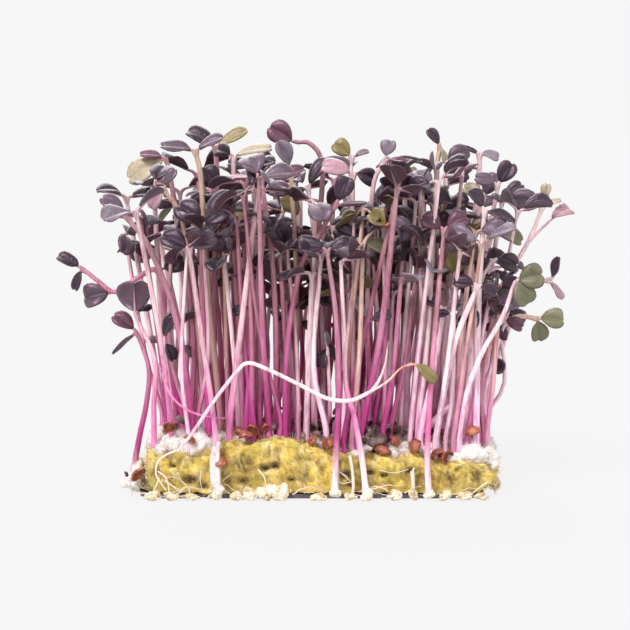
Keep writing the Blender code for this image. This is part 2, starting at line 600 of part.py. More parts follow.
def lump_object(name, centre, radii, sides, rings, collection, turn=0.0):
    """A low round lump, its centre and half sizes in millimetres."""
    bm = bmesh.new()
    bmesh.ops.create_uvsphere(bm, u_segments=sides, v_segments=rings, radius=1)
    place = Matrix.Translation(Vector(centre) * MM) @ Matrix.Rotation(turn, 4, "Z")
    bm.transform(place @ Matrix.Diagonal((*(Vector(radii) * MM), 1)))
    mesh = bpy.data.meshes.new(name)
    bm.to_mesh(mesh)
    bm.free()
    return add_object(name, mesh, collection)


def fuse(name, pieces, collection, material):
    """Joins the pieces into one closed body and removes them."""
    others = bpy.data.collections.new(name + "_pieces")
    bpy.context.scene.collection.children.link(others)
    first = pieces[0]
    for piece in pieces[1:]:
        for holder in piece.users_collection:
            holder.objects.unlink(piece)
        others.objects.link(piece)
    if len(pieces) > 1:
        join = first.modifiers.new("join", "BOOLEAN")
        join.operation = "UNION"
        join.operand_type = "COLLECTION"
        join.collection = others
        join.solver = "MANIFOLD"
    bpy.context.view_layer.update()
    evaluated = first.evaluated_get(bpy.context.evaluated_depsgraph_get())
    mesh = bpy.data.meshes.new_from_object(evaluated)
    mesh.name = name
    mesh.materials.clear()
    mesh.materials.append(material)
    for piece in pieces:
        bpy.data.objects.remove(piece)
    bpy.data.collections.remove(others)
    return add_object(name, mesh, collection)


def rounded_sheet(name, length, depth, corner, thickness, foot, collection):
    """A flat sheet with round corners, as a filled 2D outline with a thickness."""
    curve = bpy.data.curves.new(name, "CURVE")
    curve.dimensions = "2D"
    curve.fill_mode = "BOTH"
    curve.extrude = thickness / 2 * MM
    outline = []
    for quarter, (sx, sy) in enumerate(((1, 1), (-1, 1), (-1, -1), (1, -1))):
        for step in range(5):
            a = math.radians(90 * quarter + 22.5 * step)
            outline.append((sx * (length / 2 - corner) + corner * math.cos(a),
                            sy * (depth / 2 - corner) + corner * math.sin(a)))
    spline = curve.splines.new("POLY")
    spline.points.add(len(outline) - 1)
    for spot, (x, y) in zip(spline.points, outline):
        spot.co = (x * MM, y * MM, 0, 1)
    spline.use_cyclic_u = True
    obj = mesh_from_curve(name, curve, collection)
    obj.data.transform(Matrix.Translation((0, 0, (foot + thickness / 2) * MM)))
    return obj


def cut_with(obj, cutters):
    """Cuts holes with every object of the cutters' collection."""
    cut = obj.modifiers.new("holes", "BOOLEAN")
    cut.operation = "DIFFERENCE"
    cut.operand_type = "COLLECTION"
    cut.collection = cutters
    cut.solver = "MANIFOLD"


def make_tray(collection):
    tray = rounded_sheet("tray_base", TRAY_LENGTH, TRAY_DEPTH, TRAY_CORNER, TRAY_THICKNESS, 0, collection)
    tray.data.materials.append(plain_material("tray_sheet", (0.16, 0.13, 0.16), 0.5))


def add_cutter(name, bm, cutters):
    """Keeps a cutter's mesh as a hidden guide in its collection."""
    mesh = bpy.data.meshes.new(name)
    bm.to_mesh(mesh)
    bm.free()
    cutter = add_object(name, mesh, cutters)
    cutter.hide_render = True
    cutter.display_type = "WIRE"


def add_box_cutter(name, low, high, cutters):
    bm = bmesh.new()
    bmesh.ops.create_cube(bm, size=1)
    size = Vector(high) - Vector(low)
    bm.transform(Matrix.Translation((Vector(low) + size / 2) * MM) @ Matrix.Diagonal((*(size * MM), 1)))
    add_cutter(name, bm, cutters)


def make_mat(collection, cutters, tufts):
    """The mat: a gridded block with bulging sides and a lumpy top, and a hole for each tuft."""
    bm = bmesh.new()
    bmesh.ops.create_cube(bm, size=1)
    for axis, cells in enumerate(MAT_CELLS):
        edges = [e for e in bm.edges if abs((e.verts[0].co - e.verts[1].co)[axis]) > 0.5]
        bmesh.ops.subdivide_edges(bm, edges=edges, cuts=cells - 1, use_grid_fill=True)
    for vert in bm.verts:
        u, v, w = vert.co * 2
        bulge = 1 - w * w
        end = abs(u) ** 6
        face = abs(v) ** 6
        x = (MAT_LEFT + MAT_RIGHT) / 2 + u * (MAT_RIGHT - MAT_LEFT) / 2 * (1 - 0.035 * end * face)
        x -= math.copysign(1, u) * end * (0.5 + (3.0 if u > 0 else 0.3) * (1 - bulge))
        y = v * MAT_HALF_DEPTH * (1 - 0.05 * end * face)
        y -= v * face * (1.2 * (1 - bulge) - 0.2 * bulge * (1 + math.sin(0.9 * x)))
        top = mat_top(x, y) - 0.9 * max(face, end)
        z = MAT_FOOT + (top - MAT_FOOT) * (w + 1) / 2
        vert.co = Vector((x, y, z)) * MM
    bmesh.ops.triangulate(bm, faces=bm.faces)
    mesh = bpy.data.meshes.new("growing_mat")
    bm.to_mesh(mesh)
    bm.free()
    mat = add_object("growing_mat", mesh, collection)
    mat.data.materials.append(plain_material("mat_fibre", (0.62, 0.48, 0.12), 0.95))
    for number, (row, x, y) in enumerate(tufts, start=1):
        radius = (TUFT_RADIUS + GAP) / math.cos(math.pi / TUFT_SIDES)
        floor = mat_top(x, y) - TUFT_SUNK - TUFT_HALF_HEIGHT - GAP
        bm = bmesh.new()
        bmesh.ops.create_cone(bm, cap_ends=True, segments=TUFT_SIDES,
                              radius1=radius * MM, radius2=radius * MM, depth=HOLE_HEIGHT * MM)
        bm.transform(Matrix.Translation(Vector((x, y, floor + HOLE_HEIGHT / 2)) * MM))
        add_cutter(f"hole_{number:02d}", bm, cutters)
    cut_with(mat, cutters)


def make_root_layer(collection, cutters):
    """The sheet of roots on the tray with knobs along its rim, notched where seedlings root beside it."""
    material = plain_material("root", (0.90, 0.83, 0.79), 0.7)
    sheet = rounded_sheet("root_sheet", SHEET_LENGTH, SHEET_DEPTH, SHEET_CORNER, SHEET_THICKNESS, SHEET_FOOT,
                          collection)
    pieces = [sheet]
    knobs = [(x, KNOB_Y, half, KNOB_DEPTH, height) for x, half, height in FRONT_KNOBS]
    rear = int(SHEET_LENGTH / KNOB_SPACING) - 1
    for number in range(rear):
        x = (number - (rear - 1) / 2) * KNOB_SPACING
        knobs.append((x, -KNOB_Y, 1.8, KNOB_DEPTH, 2.6 + 0.8 * math.sin(2.3 * number)))
    for number in range(3):
        y = -13 + number * 14.0
        height = 2.6 + 0.7 * math.cos(2.1 * number)
        knobs.append((KNOB_X, y, KNOB_DEPTH, 1.9, height))
        if y > LEFT_MASS[0][1] + LEFT_MASS[1][1] + 3:
            knobs.append((-KNOB_X, y, KNOB_DEPTH, 1.9, height))
    for x, y, half_x, half_y, height in knobs:
        centre = (x, y, GAP + height / 2)
        pieces.append(lump_object("knob", centre, (half_x, half_y, height / 2), 5, 3, collection))
    layer = fuse("root_layer", pieces, collection, material)
    for number, seedling in enumerate(FRONT_SEEDLINGS, start=1):
        x = seedling[1][0]
        add_box_cutter(f"notch_{number}", (x - 2.2, -32, 0), (x + 2.2, -25.0, 6), cutters)
    (x, y, z), (rx, ry, rz) = LEFT_MASS
    add_box_cutter("notch_left", (x - 6, y - ry - 0.6, 0), (x + rx + 0.5, y + ry + 0.6, 6), cutters)
    cut_with(layer, cutters)


def seedling_objects(plan, name, collection, count):
    """The stem with its crown leaves, and a short arm with a leaf for each leaf lower down the stem."""
    points = curve_through(plan["path"], count)
    radii = np.linspace(STEM_RADIUS, STEM_RADIUS * STEM_TAPER, count)
    crown = [blade for blade in plan["blades"] if not blade[0].at]
    pieces = [seedling_object(name, points, radii, crown, collection)]
    for leaf, base, frame in plan["blades"]:
        if leaf.at:
            tip = base - frame[0] * CROWN_HEIGHT
            arm = (tip - frame[0] * ARM_LENGTH, tip)
            radii = (ARM_RADIUS, ARM_RADIUS)
            pieces.append(seedling_object(name, arm, radii, [(leaf, base, frame)], collection))
    return pieces


def make_edge_seedlings(collection, placed):
    """The seedlings that root beside the mat or lie across it, each with its own root knob."""
    plans = {owner: plan for owner, plan in placed if isinstance(owner, str)}
    for name, plan in plans.items():
        count = 6 if name != "fallen_seedling" else len(plan["path"])
        pieces = seedling_objects(plan, name, collection, count)
        x, y, z = plan["path"][0]
        if name.startswith("front"):
            pieces.insert(0, lump_object("knob", (x, y, 1.9), (1.6, 1.2, 1.6), 5, 3, collection))
        elif name.startswith("left"):
            pieces.insert(0, lump_object("mass", *LEFT_MASS, 8, 6, collection))
        else:
            fork = [sighted(px, pz, FALLEN_Y) for px, pz in FALLEN_FORK]
            pieces.append(seedling_object("fork", fork, np.linspace(0.55, 0.4, len(fork)), [], collection))
        tone = plan["blades"][0][0].tone
        fuse(name, pieces, collection, plain_material(name, LEAF_COLOURS[tone], 0.5))


def make_bunches(collection, tufts, placed):
    """One body for each tuft: its root lump, its seedlings and a seed hull beside them."""
    draw = random.Random(SEED + 1)
    for index, (row, x, y) in enumerate(tufts):
        plans = [plan for owner, plan in placed if owner == index]
        height = mat_top(x, y)
        middle, half_sizes = (x, y, height - TUFT_SUNK), (TUFT_RADIUS, TUFT_RADIUS, TUFT_HALF_HEIGHT)
        pieces = [lump_object("tuft", middle, half_sizes, TUFT_SIDES, 4, collection)]
        turn = draw.uniform(0, 360)
        hull = (x + HULL_ASIDE * math.cos(turn), y + HULL_ASIDE * math.sin(turn), height + HULL_RISE)
        if index % HULL_EVERY == 0:
            pieces.append(lump_object("hull", hull, HULL_RADII, 5, 3, collection, turn))
        for number, plan in enumerate(plans):
            count = max(5, len(plan["path"]))
            pieces += seedling_objects(plan, f"seedling_{number}", collection, count)
        tone = plans[0]["blades"][0][0].tone if plans else "dark"
        name = f"bunch_{index + 1:02d}"
        fuse(name, pieces, collection, plain_material(name, LEAF_COLOURS[tone], 0.5))


def main():
    for obj in list(bpy.data.objects):
        bpy.data.objects.remove(obj)
    collection = bpy.data.collections.new(OBJECT_NAME)
    holes = bpy.data.collections.new("mat_holes")
    notches = bpy.data.collections.new("root_notches")
    for group in (collection, holes, notches):
        bpy.context.scene.collection.children.link(group)
    tufts, placed = grow()
    make_tray(collection)
    make_root_layer(collection, notches)
    make_mat(collection, holes, tufts)
    make_edge_seedlings(collection, placed)
    make_bunches(collection, tufts, placed)


main()
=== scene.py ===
import json
import math
import random
from dataclasses import dataclass

import bmesh
import bpy
import numpy as np
from mathutils import Matrix, Vector, noise

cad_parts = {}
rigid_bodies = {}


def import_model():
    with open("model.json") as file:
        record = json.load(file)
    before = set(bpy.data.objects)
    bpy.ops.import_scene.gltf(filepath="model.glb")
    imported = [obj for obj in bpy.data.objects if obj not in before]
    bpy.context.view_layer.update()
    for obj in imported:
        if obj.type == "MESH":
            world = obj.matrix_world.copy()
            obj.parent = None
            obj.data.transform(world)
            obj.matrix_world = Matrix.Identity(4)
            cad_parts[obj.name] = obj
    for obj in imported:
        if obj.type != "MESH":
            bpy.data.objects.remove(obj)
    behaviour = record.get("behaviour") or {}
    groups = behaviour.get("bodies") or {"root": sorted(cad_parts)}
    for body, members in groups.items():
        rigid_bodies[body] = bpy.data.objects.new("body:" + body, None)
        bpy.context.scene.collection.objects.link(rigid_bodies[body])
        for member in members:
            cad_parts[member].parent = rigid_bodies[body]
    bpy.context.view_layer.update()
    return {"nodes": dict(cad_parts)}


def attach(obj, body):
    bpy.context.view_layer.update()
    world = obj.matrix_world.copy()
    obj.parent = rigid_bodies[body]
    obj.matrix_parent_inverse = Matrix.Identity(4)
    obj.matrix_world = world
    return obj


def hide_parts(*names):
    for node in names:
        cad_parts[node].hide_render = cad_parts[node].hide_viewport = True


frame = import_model()

# Tray base
# The thin dark sheet that the mat stands on, flat underneath. Pressed plastic film with a satin skin,
# dusty from the growing room. The CAD's sheet is right as it is and gets its finish here.
MM = 0.001
# How far red, green and blue light run under a living skin, as shares of the reach in millimetres
GLOW_SHARES = (1.0, 0.45, 0.5)
GLOW_REACH = 0.8


def live_socket(sockets, name):
    """The socket of that name that the node's settings leave in use."""
    return next(socket for socket in sockets if socket.enabled and socket.name == name)


def put(tree, kind, values=(), **settings):
    """Adds a node: settings are its properties, values its inputs, each a plain value or another output."""
    node = tree.nodes.new(kind)
    for name, setting in settings.items():
        setattr(node, name, setting)
    for name, value in dict(values).items():
        socket = node.inputs[name] if isinstance(name, int) else live_socket(node.inputs, name)
        if isinstance(value, bpy.types.NodeSocket):
            tree.links.new(value, socket)
        else:
            socket.default_value = value
    return node


def reckon(tree, operation, *values):
    """A sum of values or outputs in a shader."""
    return put(tree, "ShaderNodeMath", dict(enumerate(values)), operation=operation).outputs[0]


def ranged(tree, value, low, high, begin=0.0, finish=1.0):
    """A value that runs from begin to finish while the given one runs from low to high."""
    return put(tree, "ShaderNodeMapRange", {"Value": value, "From Min": low, "From Max": high,
                                            "To Min": begin, "To Max": finish}).outputs[0]


def living_grain():
    """Uneven colour and a fine uneven skin for everything that grew, by size in metres."""
    tree = bpy.data.node_groups.new("living_grain", "ShaderNodeTree")
    face = tree.interface
    sockets = (("Patch Scale", 300.0), ("Grain Scale", 3000.0), ("Stretch", 1.0), ("Relief", 0.3))
    for name, value in sockets:
        face.new_socket(name, in_out="INPUT", socket_type="NodeSocketFloat").default_value = value
    face.new_socket("Patches", in_out="OUTPUT", socket_type="NodeSocketFloat")
    face.new_socket("Grain", in_out="OUTPUT", socket_type="NodeSocketFloat")
    face.new_socket("Normal", in_out="OUTPUT", socket_type="NodeSocketVector")
    start, end = put(tree, "NodeGroupInput").outputs, put(tree, "NodeGroupOutput")
    place = put(tree, "ShaderNodeTexCoord").outputs["Object"]
    squeeze = put(tree, "ShaderNodeCombineXYZ", {"X": 1.0, "Y": 1.0, "Z": start["Stretch"]}).outputs[0]
    along = put(tree, "ShaderNodeVectorMath", {0: place, 1: squeeze}, operation="MULTIPLY").outputs[0]
    patches = put(tree, "ShaderNodeTexNoise", {"Vector": along, "Scale": start["Patch Scale"], "Detail": 3.0})
    grain = put(tree, "ShaderNodeTexNoise", {"Vector": along, "Scale": start["Grain Scale"], "Detail": 2.0})
    bump = put(tree, "ShaderNodeBump", {"Strength": start["Relief"], "Distance": 0.0002,
                                        "Height": grain.outputs[0]})
    tree.links.new(patches.outputs[0], end.inputs["Patches"])
    tree.links.new(grain.outputs[0], end.inputs["Grain"])
    tree.links.new(bump.outputs[0], end.inputs["Normal"])
    return tree


GRAIN = living_grain()


def grown_material(name, roughness, sizes, shades, sheen=0.0, specular=0.5, under=0.0, tint=None):
    """A material from the grain. Its colour runs over the shades, times the tint where one is named.

    The sizes are the grain's four inputs, and under is how much light runs under the skin.
    """
    material = bpy.data.materials.new(name)
    material.use_nodes = True
    tree = material.node_tree
    shader = tree.nodes["Principled BSDF"]
    grain = put(tree, "ShaderNodeGroup", node_tree=GRAIN)
    for socket, size in zip(("Patch Scale", "Grain Scale", "Stretch", "Relief"), sizes):
        grain.inputs[socket].default_value = size
    both = reckon(tree, "ADD", grain.outputs["Patches"], grain.outputs["Grain"])
    ramp = put(tree, "ShaderNodeValToRGB", {"Fac": ranged(tree, both, 0.7, 1.3)})
    stops = ramp.color_ramp.elements
    while len(stops) < len(shades):
        stops.new(0.5)
    for number, shade in enumerate(shades):
        stops[number].position = number / (len(shades) - 1)
        stops[number].color = (*shade, 1)
    colour = ramp.outputs[0]
    if tint:
        held = put(tree, "ShaderNodeAttribute", attribute_name=tint).outputs["Color"]
        colour = put(tree, "ShaderNodeMix", {"Factor": 1.0, "A": held, "B": colour},
                     data_type="RGBA", blend_type="MULTIPLY")
        colour = live_socket(colour.outputs, "Result")
    tree.links.new(colour, shader.inputs["Base Color"])
    tree.links.new(grain.outputs["Normal"], shader.inputs["Normal"])
    shader.inputs["Roughness"].default_value = roughness
    shader.inputs["Sheen Weight"].default_value = sheen
    shader.inputs["Specular IOR Level"].default_value = specular
    shader.inputs["Subsurface Weight"].default_value = under
    shader.inputs["Subsurface Radius"].default_value = GLOW_SHARES
    shader.inputs["Subsurface Scale"].default_value = GLOW_REACH * MM
    return material


def finish_piece(obj, slot, *nodes):
    """Rides a piece on the stand's one body and hides the CAD nodes that it stands for. Its slot is not used.
    """
    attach(obj, "root")
    if nodes:
        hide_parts(*nodes)
    return obj


tray = frame["nodes"]["tray_base"]
tray.data.materials.clear()
tray.data.materials.append(grown_material("tray_film", 0.45, (180, 2500, 1.0, 0.15), (
    (0.045, 0.034, 0.038), (0.10, 0.076, 0.084), (0.17, 0.13, 0.145))))

# Growing mat
# The pad that the seed was sown on: teased plant fibre, felted into a soft golden slab with a lumpy
# rim, cracks and pulled-out tufts. A solid core holds the shape and loose curled fibres cover it.
GAP = 0.3
TRAY_THICKNESS = 1.0
SHEET_THICKNESS = 0.6
SHEET_FOOT = TRAY_THICKNESS + GAP
MAT_LEFT = -38.0
MAT_RIGHT = 42.2
MAT_HALF_DEPTH = 24.6
MAT_FOOT = SHEET_FOOT + SHEET_THICKNESS + GAP
MAT_INNER_TOP = 11.2
MAT_RIM_BEGINS = 13.0
# Height of the mat's front rim along its length, as (x, height)
MAT_RIM = ((-38, 10.2), (-27, 10.0), (-21, 11.6), (-19, 13.6), (-14, 12.6), (-8, 14.6), (-3.5, 13.6),
           (2, 11.0), (8, 9.4), (13, 9.9), (19, 8.6), (23, 9.4), (30, 7.6), (36, 8.6), (42.2, 7.4))
# The drawn pad's cells along, across and up, and how far its skin stands out of the CAD's plain block
CORE_CELLS = (150, 90, 20)
CORE_LIFT = 0.25
# How far the pad's right end bulges, and how far its rim sags over the sheet under it
MAT_PUFF = 0.8
MAT_SAG = 1.5
# Height and size of the lumps, puffs and wisps of its skin
LUMPS, PUFFS, WISPS = (1.0, 5.2), (0.62, 2.1), (0.27, 0.8)
# Creases run where a noise of this size is near zero, and a crack is a full dent of this depth
CREASE_SIZE = 3.6
CREASE_WIDTH = 0.09
CREASE_SHARE = 0.16
DENT_DEPTH = 2.6
# Cracks in the front face: place along it, height and size
CRACKS = ((-27.8, 4.4, 1.8), (-31.8, 7.6, 0.7), (-24.6, 2.9, 1.1), (-10.6, 7.1, 1.3), (-8.6, 7.7, 1.4),
          (-15.6, 4.2, 1.2), (7.6, 5.6, 1.7), (9.0, 3.4, 1.2), (22.6, 6.5, 0.9), (13.2, 6.2, 0.9),
          (16.3, 5.6, 0.8), (-4.6, 4.6, 0.7))
# The painted shade of the pad's dents, creases and cracks, the gold and olive of the fibre, and its cream
# patches
MAT_PAINTED_SHADE = np.array((0.21, 0.135, 0.040))
MAT_GOLD = np.array((0.92, 0.64, 0.13))
MAT_OLIVE = np.array((0.54, 0.44, 0.09))
MAT_CREAM = np.array((0.94, 0.83, 0.55))
# The least height of anything soft over the floor
FLOOR_ROOM = 0.03


def add_object(name, data):
    """A new object in the scene."""
    obj = bpy.data.objects.new(name, data)
    bpy.context.scene.collection.objects.link(obj)
    return obj


def mesh_object(name, verts, faces, edges=()):
    """A new object in the scene from points in metres."""
    mesh = bpy.data.meshes.new(name)
    mesh.from_pydata(verts, edges, faces)
    mesh.update()
    return add_object(name, mesh)


def smooth(mesh):
    """Shades every face of a mesh smooth."""
    mesh.polygons.foreach_set("use_smooth", [True] * len(mesh.polygons))


def rumple(x, y, z, size, roughness=0.9, octaves=4):
    """Noise from about -1 to 1 at a place in millimetres."""
    return noise.fractal(Vector((x, y, z)) / size, roughness, 2.0, octaves)


def add_field(mesh, name, values, kind="FLOAT", part="value"):
    """Stores one value or colour for each point."""
    field = mesh.attributes.new(name, kind, "POINT")
    field.data.foreach_set(part, np.asarray(values, dtype=np.float32).ravel())


def add_tints(mesh, colours):
    """Stores one colour for each point, which the grown materials multiply in."""
    colours = np.hstack([colours, np.ones((len(colours), 1))])
    add_field(mesh, "tint", colours, "FLOAT_COLOR", "color")


def mixed(first, second, share):
    """A colour between two, at that share of the way to the second."""
    return first * (1 - share) + second * share


def gridded_block(cells):
    """A unit block with its six sides cut into cells."""
    bm = bmesh.new()
    bmesh.ops.create_cube(bm, size=1)
    for axis, count in enumerate(cells):
        edges = [e for e in bm.edges if abs((e.verts[0].co - e.verts[1].co)[axis]) > 0.5]
        bmesh.ops.subdivide_edges(bm, edges=edges, cuts=count - 1, use_grid_fill=True)
    return bm


def mat_top(x, y):
    """Height of the mat's upper side: a level bed with a lumpy front rim."""
    rim = np.interp(x, [p[0] for p in MAT_RIM], [p[1] for p in MAT_RIM])
    bed = MAT_INNER_TOP - 2.4 * max(0.0, (x - 24) / 18) + 0.5 * math.sin(0.55 * x + 1.7 * math.sin(0.3 * y))
    share = min(1.0, max(0.0, (y + MAT_HALF_DEPTH) / MAT_RIM_BEGINS))
    share = share * share * (3 - 2 * share)
    return float(rim * (1 - share) + bed * share + 0.35 * math.sin(1.1 * y + 0.8 * x))


def make_core():
    """The pad: the CAD's block, drawn finer, with lumps, creases and fibre-sized grain."""
    bm = gridded_block(CORE_CELLS)
    fuzz, tints = [], []
    for vert in bm.verts:
        u, v, w = vert.co * 2
        bulge = 1 - w * w
        end, face = abs(u) ** 6, abs(v) ** 6
        x = (MAT_LEFT + MAT_RIGHT) / 2 + u * (MAT_RIGHT - MAT_LEFT) / 2 * (1 - 0.035 * end * face)
        drawn_in = end * (0.5 + (3.0 if u > 0 else 0.3) * (1 - bulge))
        x -= math.copysign(1, u) * drawn_in - max(0.0, u) * end * bulge * MAT_PUFF
        y = v * MAT_HALF_DEPTH * (1 - 0.05 * end * face)
        y -= v * face * (0.3 * (1 - bulge) - 0.2 * bulge * (1 + math.sin(0.9 * x)))
        top = mat_top(x, y) - 0.9 * max(face, end)
        z = MAT_FOOT + (top - MAT_FOOT) * (w + 1) / 2
        z -= MAT_SAG * face * ((1 - w) / 2) ** 4 * (0.6 + 0.4 * rumple(x, 0, 20, 2.6))
        rim = max(face, end) * min(1.0, 2.2 * (w + 1) / 2)
        swell = LUMPS[0] * rumple(x, y, z, LUMPS[1]) + PUFFS[0] * rumple(x + 40, y, 0.4 * z, PUFFS[1])
        swell += WISPS[0] * rumple(x, y + 40, z, WISPS[1])
        crease = math.exp(-(rumple(x, 0.5 * y, 0.3 * z + 60, CREASE_SIZE) / CREASE_WIDTH) ** 2) * rim
        dent = CREASE_SHARE * crease
        if v < -0.9:
            for cx, cz, size in CRACKS:
                away = math.hypot((x - cx) / size, (z - cz) / (0.55 * size))
                dent = max(dent, math.exp(-away * away))
        upward = (1 + w) / 2 * (1 - max(end, face)) + 0.25
        out = Vector((math.copysign(end, u), math.copysign(face, v), upward))
        out.normalize()
        lift = out * (swell + CORE_LIFT - DENT_DEPTH * dent) * (0.35 + 0.65 * rim)
        vert.co = (Vector((x, y, z)) + lift) * MM
        side = max(end, face if v < 0 else 0.5 * face)
        fuzz.append((0.1 + 0.9 * side ** 0.5) * (1 - min(1, dent) ** 2) if w > -0.97 else 0.0)
        # Painted light and shade: the fibre, on the pad and on its strewn fibres, is coloured lighter on the
        # swells and darker, toward a deep olive brown, in the dents, creases and cracks. The cream patches
        # are real pale fibre shown only where that painted light is, so they are partly painted highlight.
        light = 0.62 + 0.42 * swell - 1.2 * (dent - CREASE_SHARE * crease) - 0.45 * crease
        light = min(1.0, max(0.0, light))
        olive = min(0.65, max(0.0, 0.9 * rumple(x + 80, y, 0.6 * z, 4.5) + 0.1))
        cream = light * min(0.5, max(0.0, 1.3 * rumple(1.6 * x, y + 80, 0.5 * z, 1.7) - 0.1))
        ripe = mixed(MAT_GOLD, MAT_OLIVE, olive)
        tints.append(mixed(mixed(MAT_PAINTED_SHADE, ripe, light), MAT_CREAM, cream))
    bmesh.ops.recalc_face_normals(bm, faces=bm.faces)
    mesh = bpy.data.meshes.new("mat_core")
    bm.to_mesh(mesh)
    bm.free()
    add_field(mesh, "fuzz", fuzz)
    add_tints(mesh, np.array(tints))
    smooth(mesh)
    return add_object("mat_core", mesh)


def settle(obj):
    """Turns what an object's modifiers make into its plain mesh."""
    bpy.context.view_layer.update()
    made = bpy.data.meshes.new_from_object(obj.evaluated_get(bpy.context.evaluated_depsgraph_get()))
    made.name = obj.name
    obj.modifiers.clear()
    obj.data = made
    return obj


def new_tree(name, inputs):
    """A Geometry Nodes tree with its named inputs, and its two ends."""
    tree = bpy.data.node_groups.new(name, "GeometryNodeTree")
    for label, kind in inputs:
        tree.interface.new_socket(label, in_out="INPUT", socket_type=f"NodeSocket{kind}")
    tree.interface.new_socket("Made", in_out="OUTPUT", socket_type="NodeSocketGeometry")
    return tree, put(tree, "NodeGroupInput").outputs, put(tree, "NodeGroupOutput")


def close_tree(tree, shape, finish, end):
    """Ends a tree: real geometry, smooth, with its material."""
    real = put(tree, "GeometryNodeRealizeInstances", {"Geometry": shape})
    soft = put(tree, "GeometryNodeSetShadeSmooth", {"Geometry": real.outputs[0], "Shade Smooth": True})
    done = put(tree, "GeometryNodeSetMaterial", {"Geometry": soft.outputs[0], "Material": finish})
    tree.links.new(done.outputs[0], end.inputs["Made"])


def add_tree(obj, tree, **values):
    """Adds a tree to an object, its inputs set by their identifiers."""
    modifier = obj.modifiers.new(tree.name, "NODES")
    modifier.node_group = tree
    for item in tree.interface.items_tree:
        key = item.name.lower().replace(" ", "_")
        if item.in_out == "INPUT" and key in values:
            modifier[item.identifier] = values[key]
    return obj


def tube_tree():
    """Tubes along a mesh's edges, as thick as the girth that each point holds."""
    tree, start, end = new_tree("drawn_tubes", (
        ("Paths", "Geometry"), ("Sides", "Int"), ("Finish", "Material")))
    lines = put(tree, "GeometryNodeMeshToCurve", {"Mesh": start["Paths"]})
    girth = put(tree, "GeometryNodeInputNamedAttribute", {"Name": "girth"}, data_type="FLOAT")
    ring = put(tree, "GeometryNodeCurvePrimitiveCircle", {"Resolution": start["Sides"], "Radius": 1.0})
    tubes = put(tree, "GeometryNodeCurveToMesh", {"Curve": lines.outputs[0], "Profile Curve": ring.outputs[0],
                                                  "Scale": girth.outputs[0], "Fill Caps": True})
    close_tree(tree, tubes.outputs[0], start["Finish"], end)
    return tree


def scatter_tree():
    """Pieces of a collection strewn over a surface: by its fuzz, standing out of it at a random lean."""
    tree, start, end = new_tree("strewn_pieces", (
        ("Surface", "Geometry"), ("Strands", "Collection"), ("Density", "Float"), ("Seed", "Int"),
        ("Smallest", "Float"), ("Largest", "Float"), ("Lean", "Float"), ("Finish", "Material")))
    fuzz = put(tree, "GeometryNodeInputNamedAttribute", {"Name": "fuzz"}, data_type="FLOAT")
    spots = put(tree, "GeometryNodeDistributePointsOnFaces", {
        "Mesh": start["Surface"], "Density Max": start["Density"], "Density Factor": fuzz.outputs[0],
        "Seed": start["Seed"], "Distance Min": 0.0}, distribute_method="POISSON")
    variety = put(tree, "GeometryNodeCollectionInfo", {
        "Collection": start["Strands"], "Separate Children": True, "Reset Children": True})
    pick = put(tree, "FunctionNodeRandomValue", {"Min": 0, "Max": 99, "Seed": 3}, data_type="INT")
    size = put(tree, "FunctionNodeRandomValue", {"Min": start["Smallest"], "Max": start["Largest"],
                                                 "Seed": 4}, data_type="FLOAT")
    back = put(tree, "ShaderNodeMath", {0: start["Lean"], 1: -1.0}, operation="MULTIPLY")
    low = put(tree, "ShaderNodeCombineXYZ", {"X": back.outputs[0], "Y": back.outputs[0], "Z": -math.pi})
    high = put(tree, "ShaderNodeCombineXYZ", {"X": start["Lean"], "Y": start["Lean"], "Z": math.pi})
    turn = put(tree, "FunctionNodeRandomValue", {"Min": low.outputs[0], "Max": high.outputs[0], "Seed": 5},
               data_type="FLOAT_VECTOR")
    lean = put(tree, "FunctionNodeEulerToRotation", {"Euler": turn.outputs[0]})
    stand = put(tree, "FunctionNodeRotateRotation", {"Rotation": spots.outputs["Rotation"],
                                                     "Rotate By": lean.outputs[0]}, rotation_space="LOCAL")
    strewn = put(tree, "GeometryNodeInstanceOnPoints", {
        "Points": spots.outputs["Points"], "Instance": variety.outputs[0], "Pick Instance": True,
        "Instance Index": pick.outputs[2], "Rotation": stand.outputs[0], "Scale": size.outputs[1]})
    close_tree(tree, strewn.outputs[0], start["Finish"], end)
    return tree


TUBES = tube_tree()
STREWN = scatter_tree()


def draw_tubes(name, paths, material, sides=8):
    """One mesh of tubes. A path is its points, its girths and its colours, sizes in millimetres."""
    points = np.vstack([path[0] for path in paths])
    girths = np.concatenate([path[1] for path in paths])
    edges, first = [], 0
    for path in paths:
        edges += [(k, k + 1) for k in range(first, first + len(path[0]) - 1)]
        first += len(path[0])
    obj = mesh_object(name, (points * MM).tolist(), (), edges)
    add_field(obj.data, "girth", girths * MM)
    if len(paths[0]) > 2:
        add_tints(obj.data, np.vstack([path[2] for path in paths]))
    return settle(add_tree(obj, TUBES, sides=sides, finish=material))


def curled_path(draw, length, girth, curl, count):
    """A fibre that starts along +Z and wanders, thinner towards its tip."""
    heading = Vector((draw.gauss(0, 0.5), draw.gauss(0, 0.5), 1)).normalized()
    point, points = Vector((0, 0, -0.15 * length)), []
    for step in range(count):
        points.append(point.copy())
        point += heading * (length / (count - 1))
        heading = (heading + Vector(draw.gauss(0, curl) for axis in "xyz")).normalized()
    return np.array(points), np.linspace(girth, girth * 0.45, count)


def new_kit(name):
    """An empty collection for pieces to strew."""
    kit = bpy.data.collections.new(name)
    bpy.context.scene.collection.children.link(kit)
    return kit


def move_to_kit(obj, kit):
    """Takes an object out of the scene's own list and into a kit."""
    bpy.context.scene.collection.objects.unlink(obj)
    kit.objects.link(obj)


def strand_kit(name, seed, material, length, girth, curl, kinds=8, sides=3, count=6):
    """A kit of curled fibres to strew."""
    draw = random.Random(seed)
    kit = new_kit(name)
    for number in range(kinds):
        path = curled_path(draw, length, girth, curl, count)
        move_to_kit(draw_tubes(f"{name}_{number}", [path], material, sides), kit)
    return kit


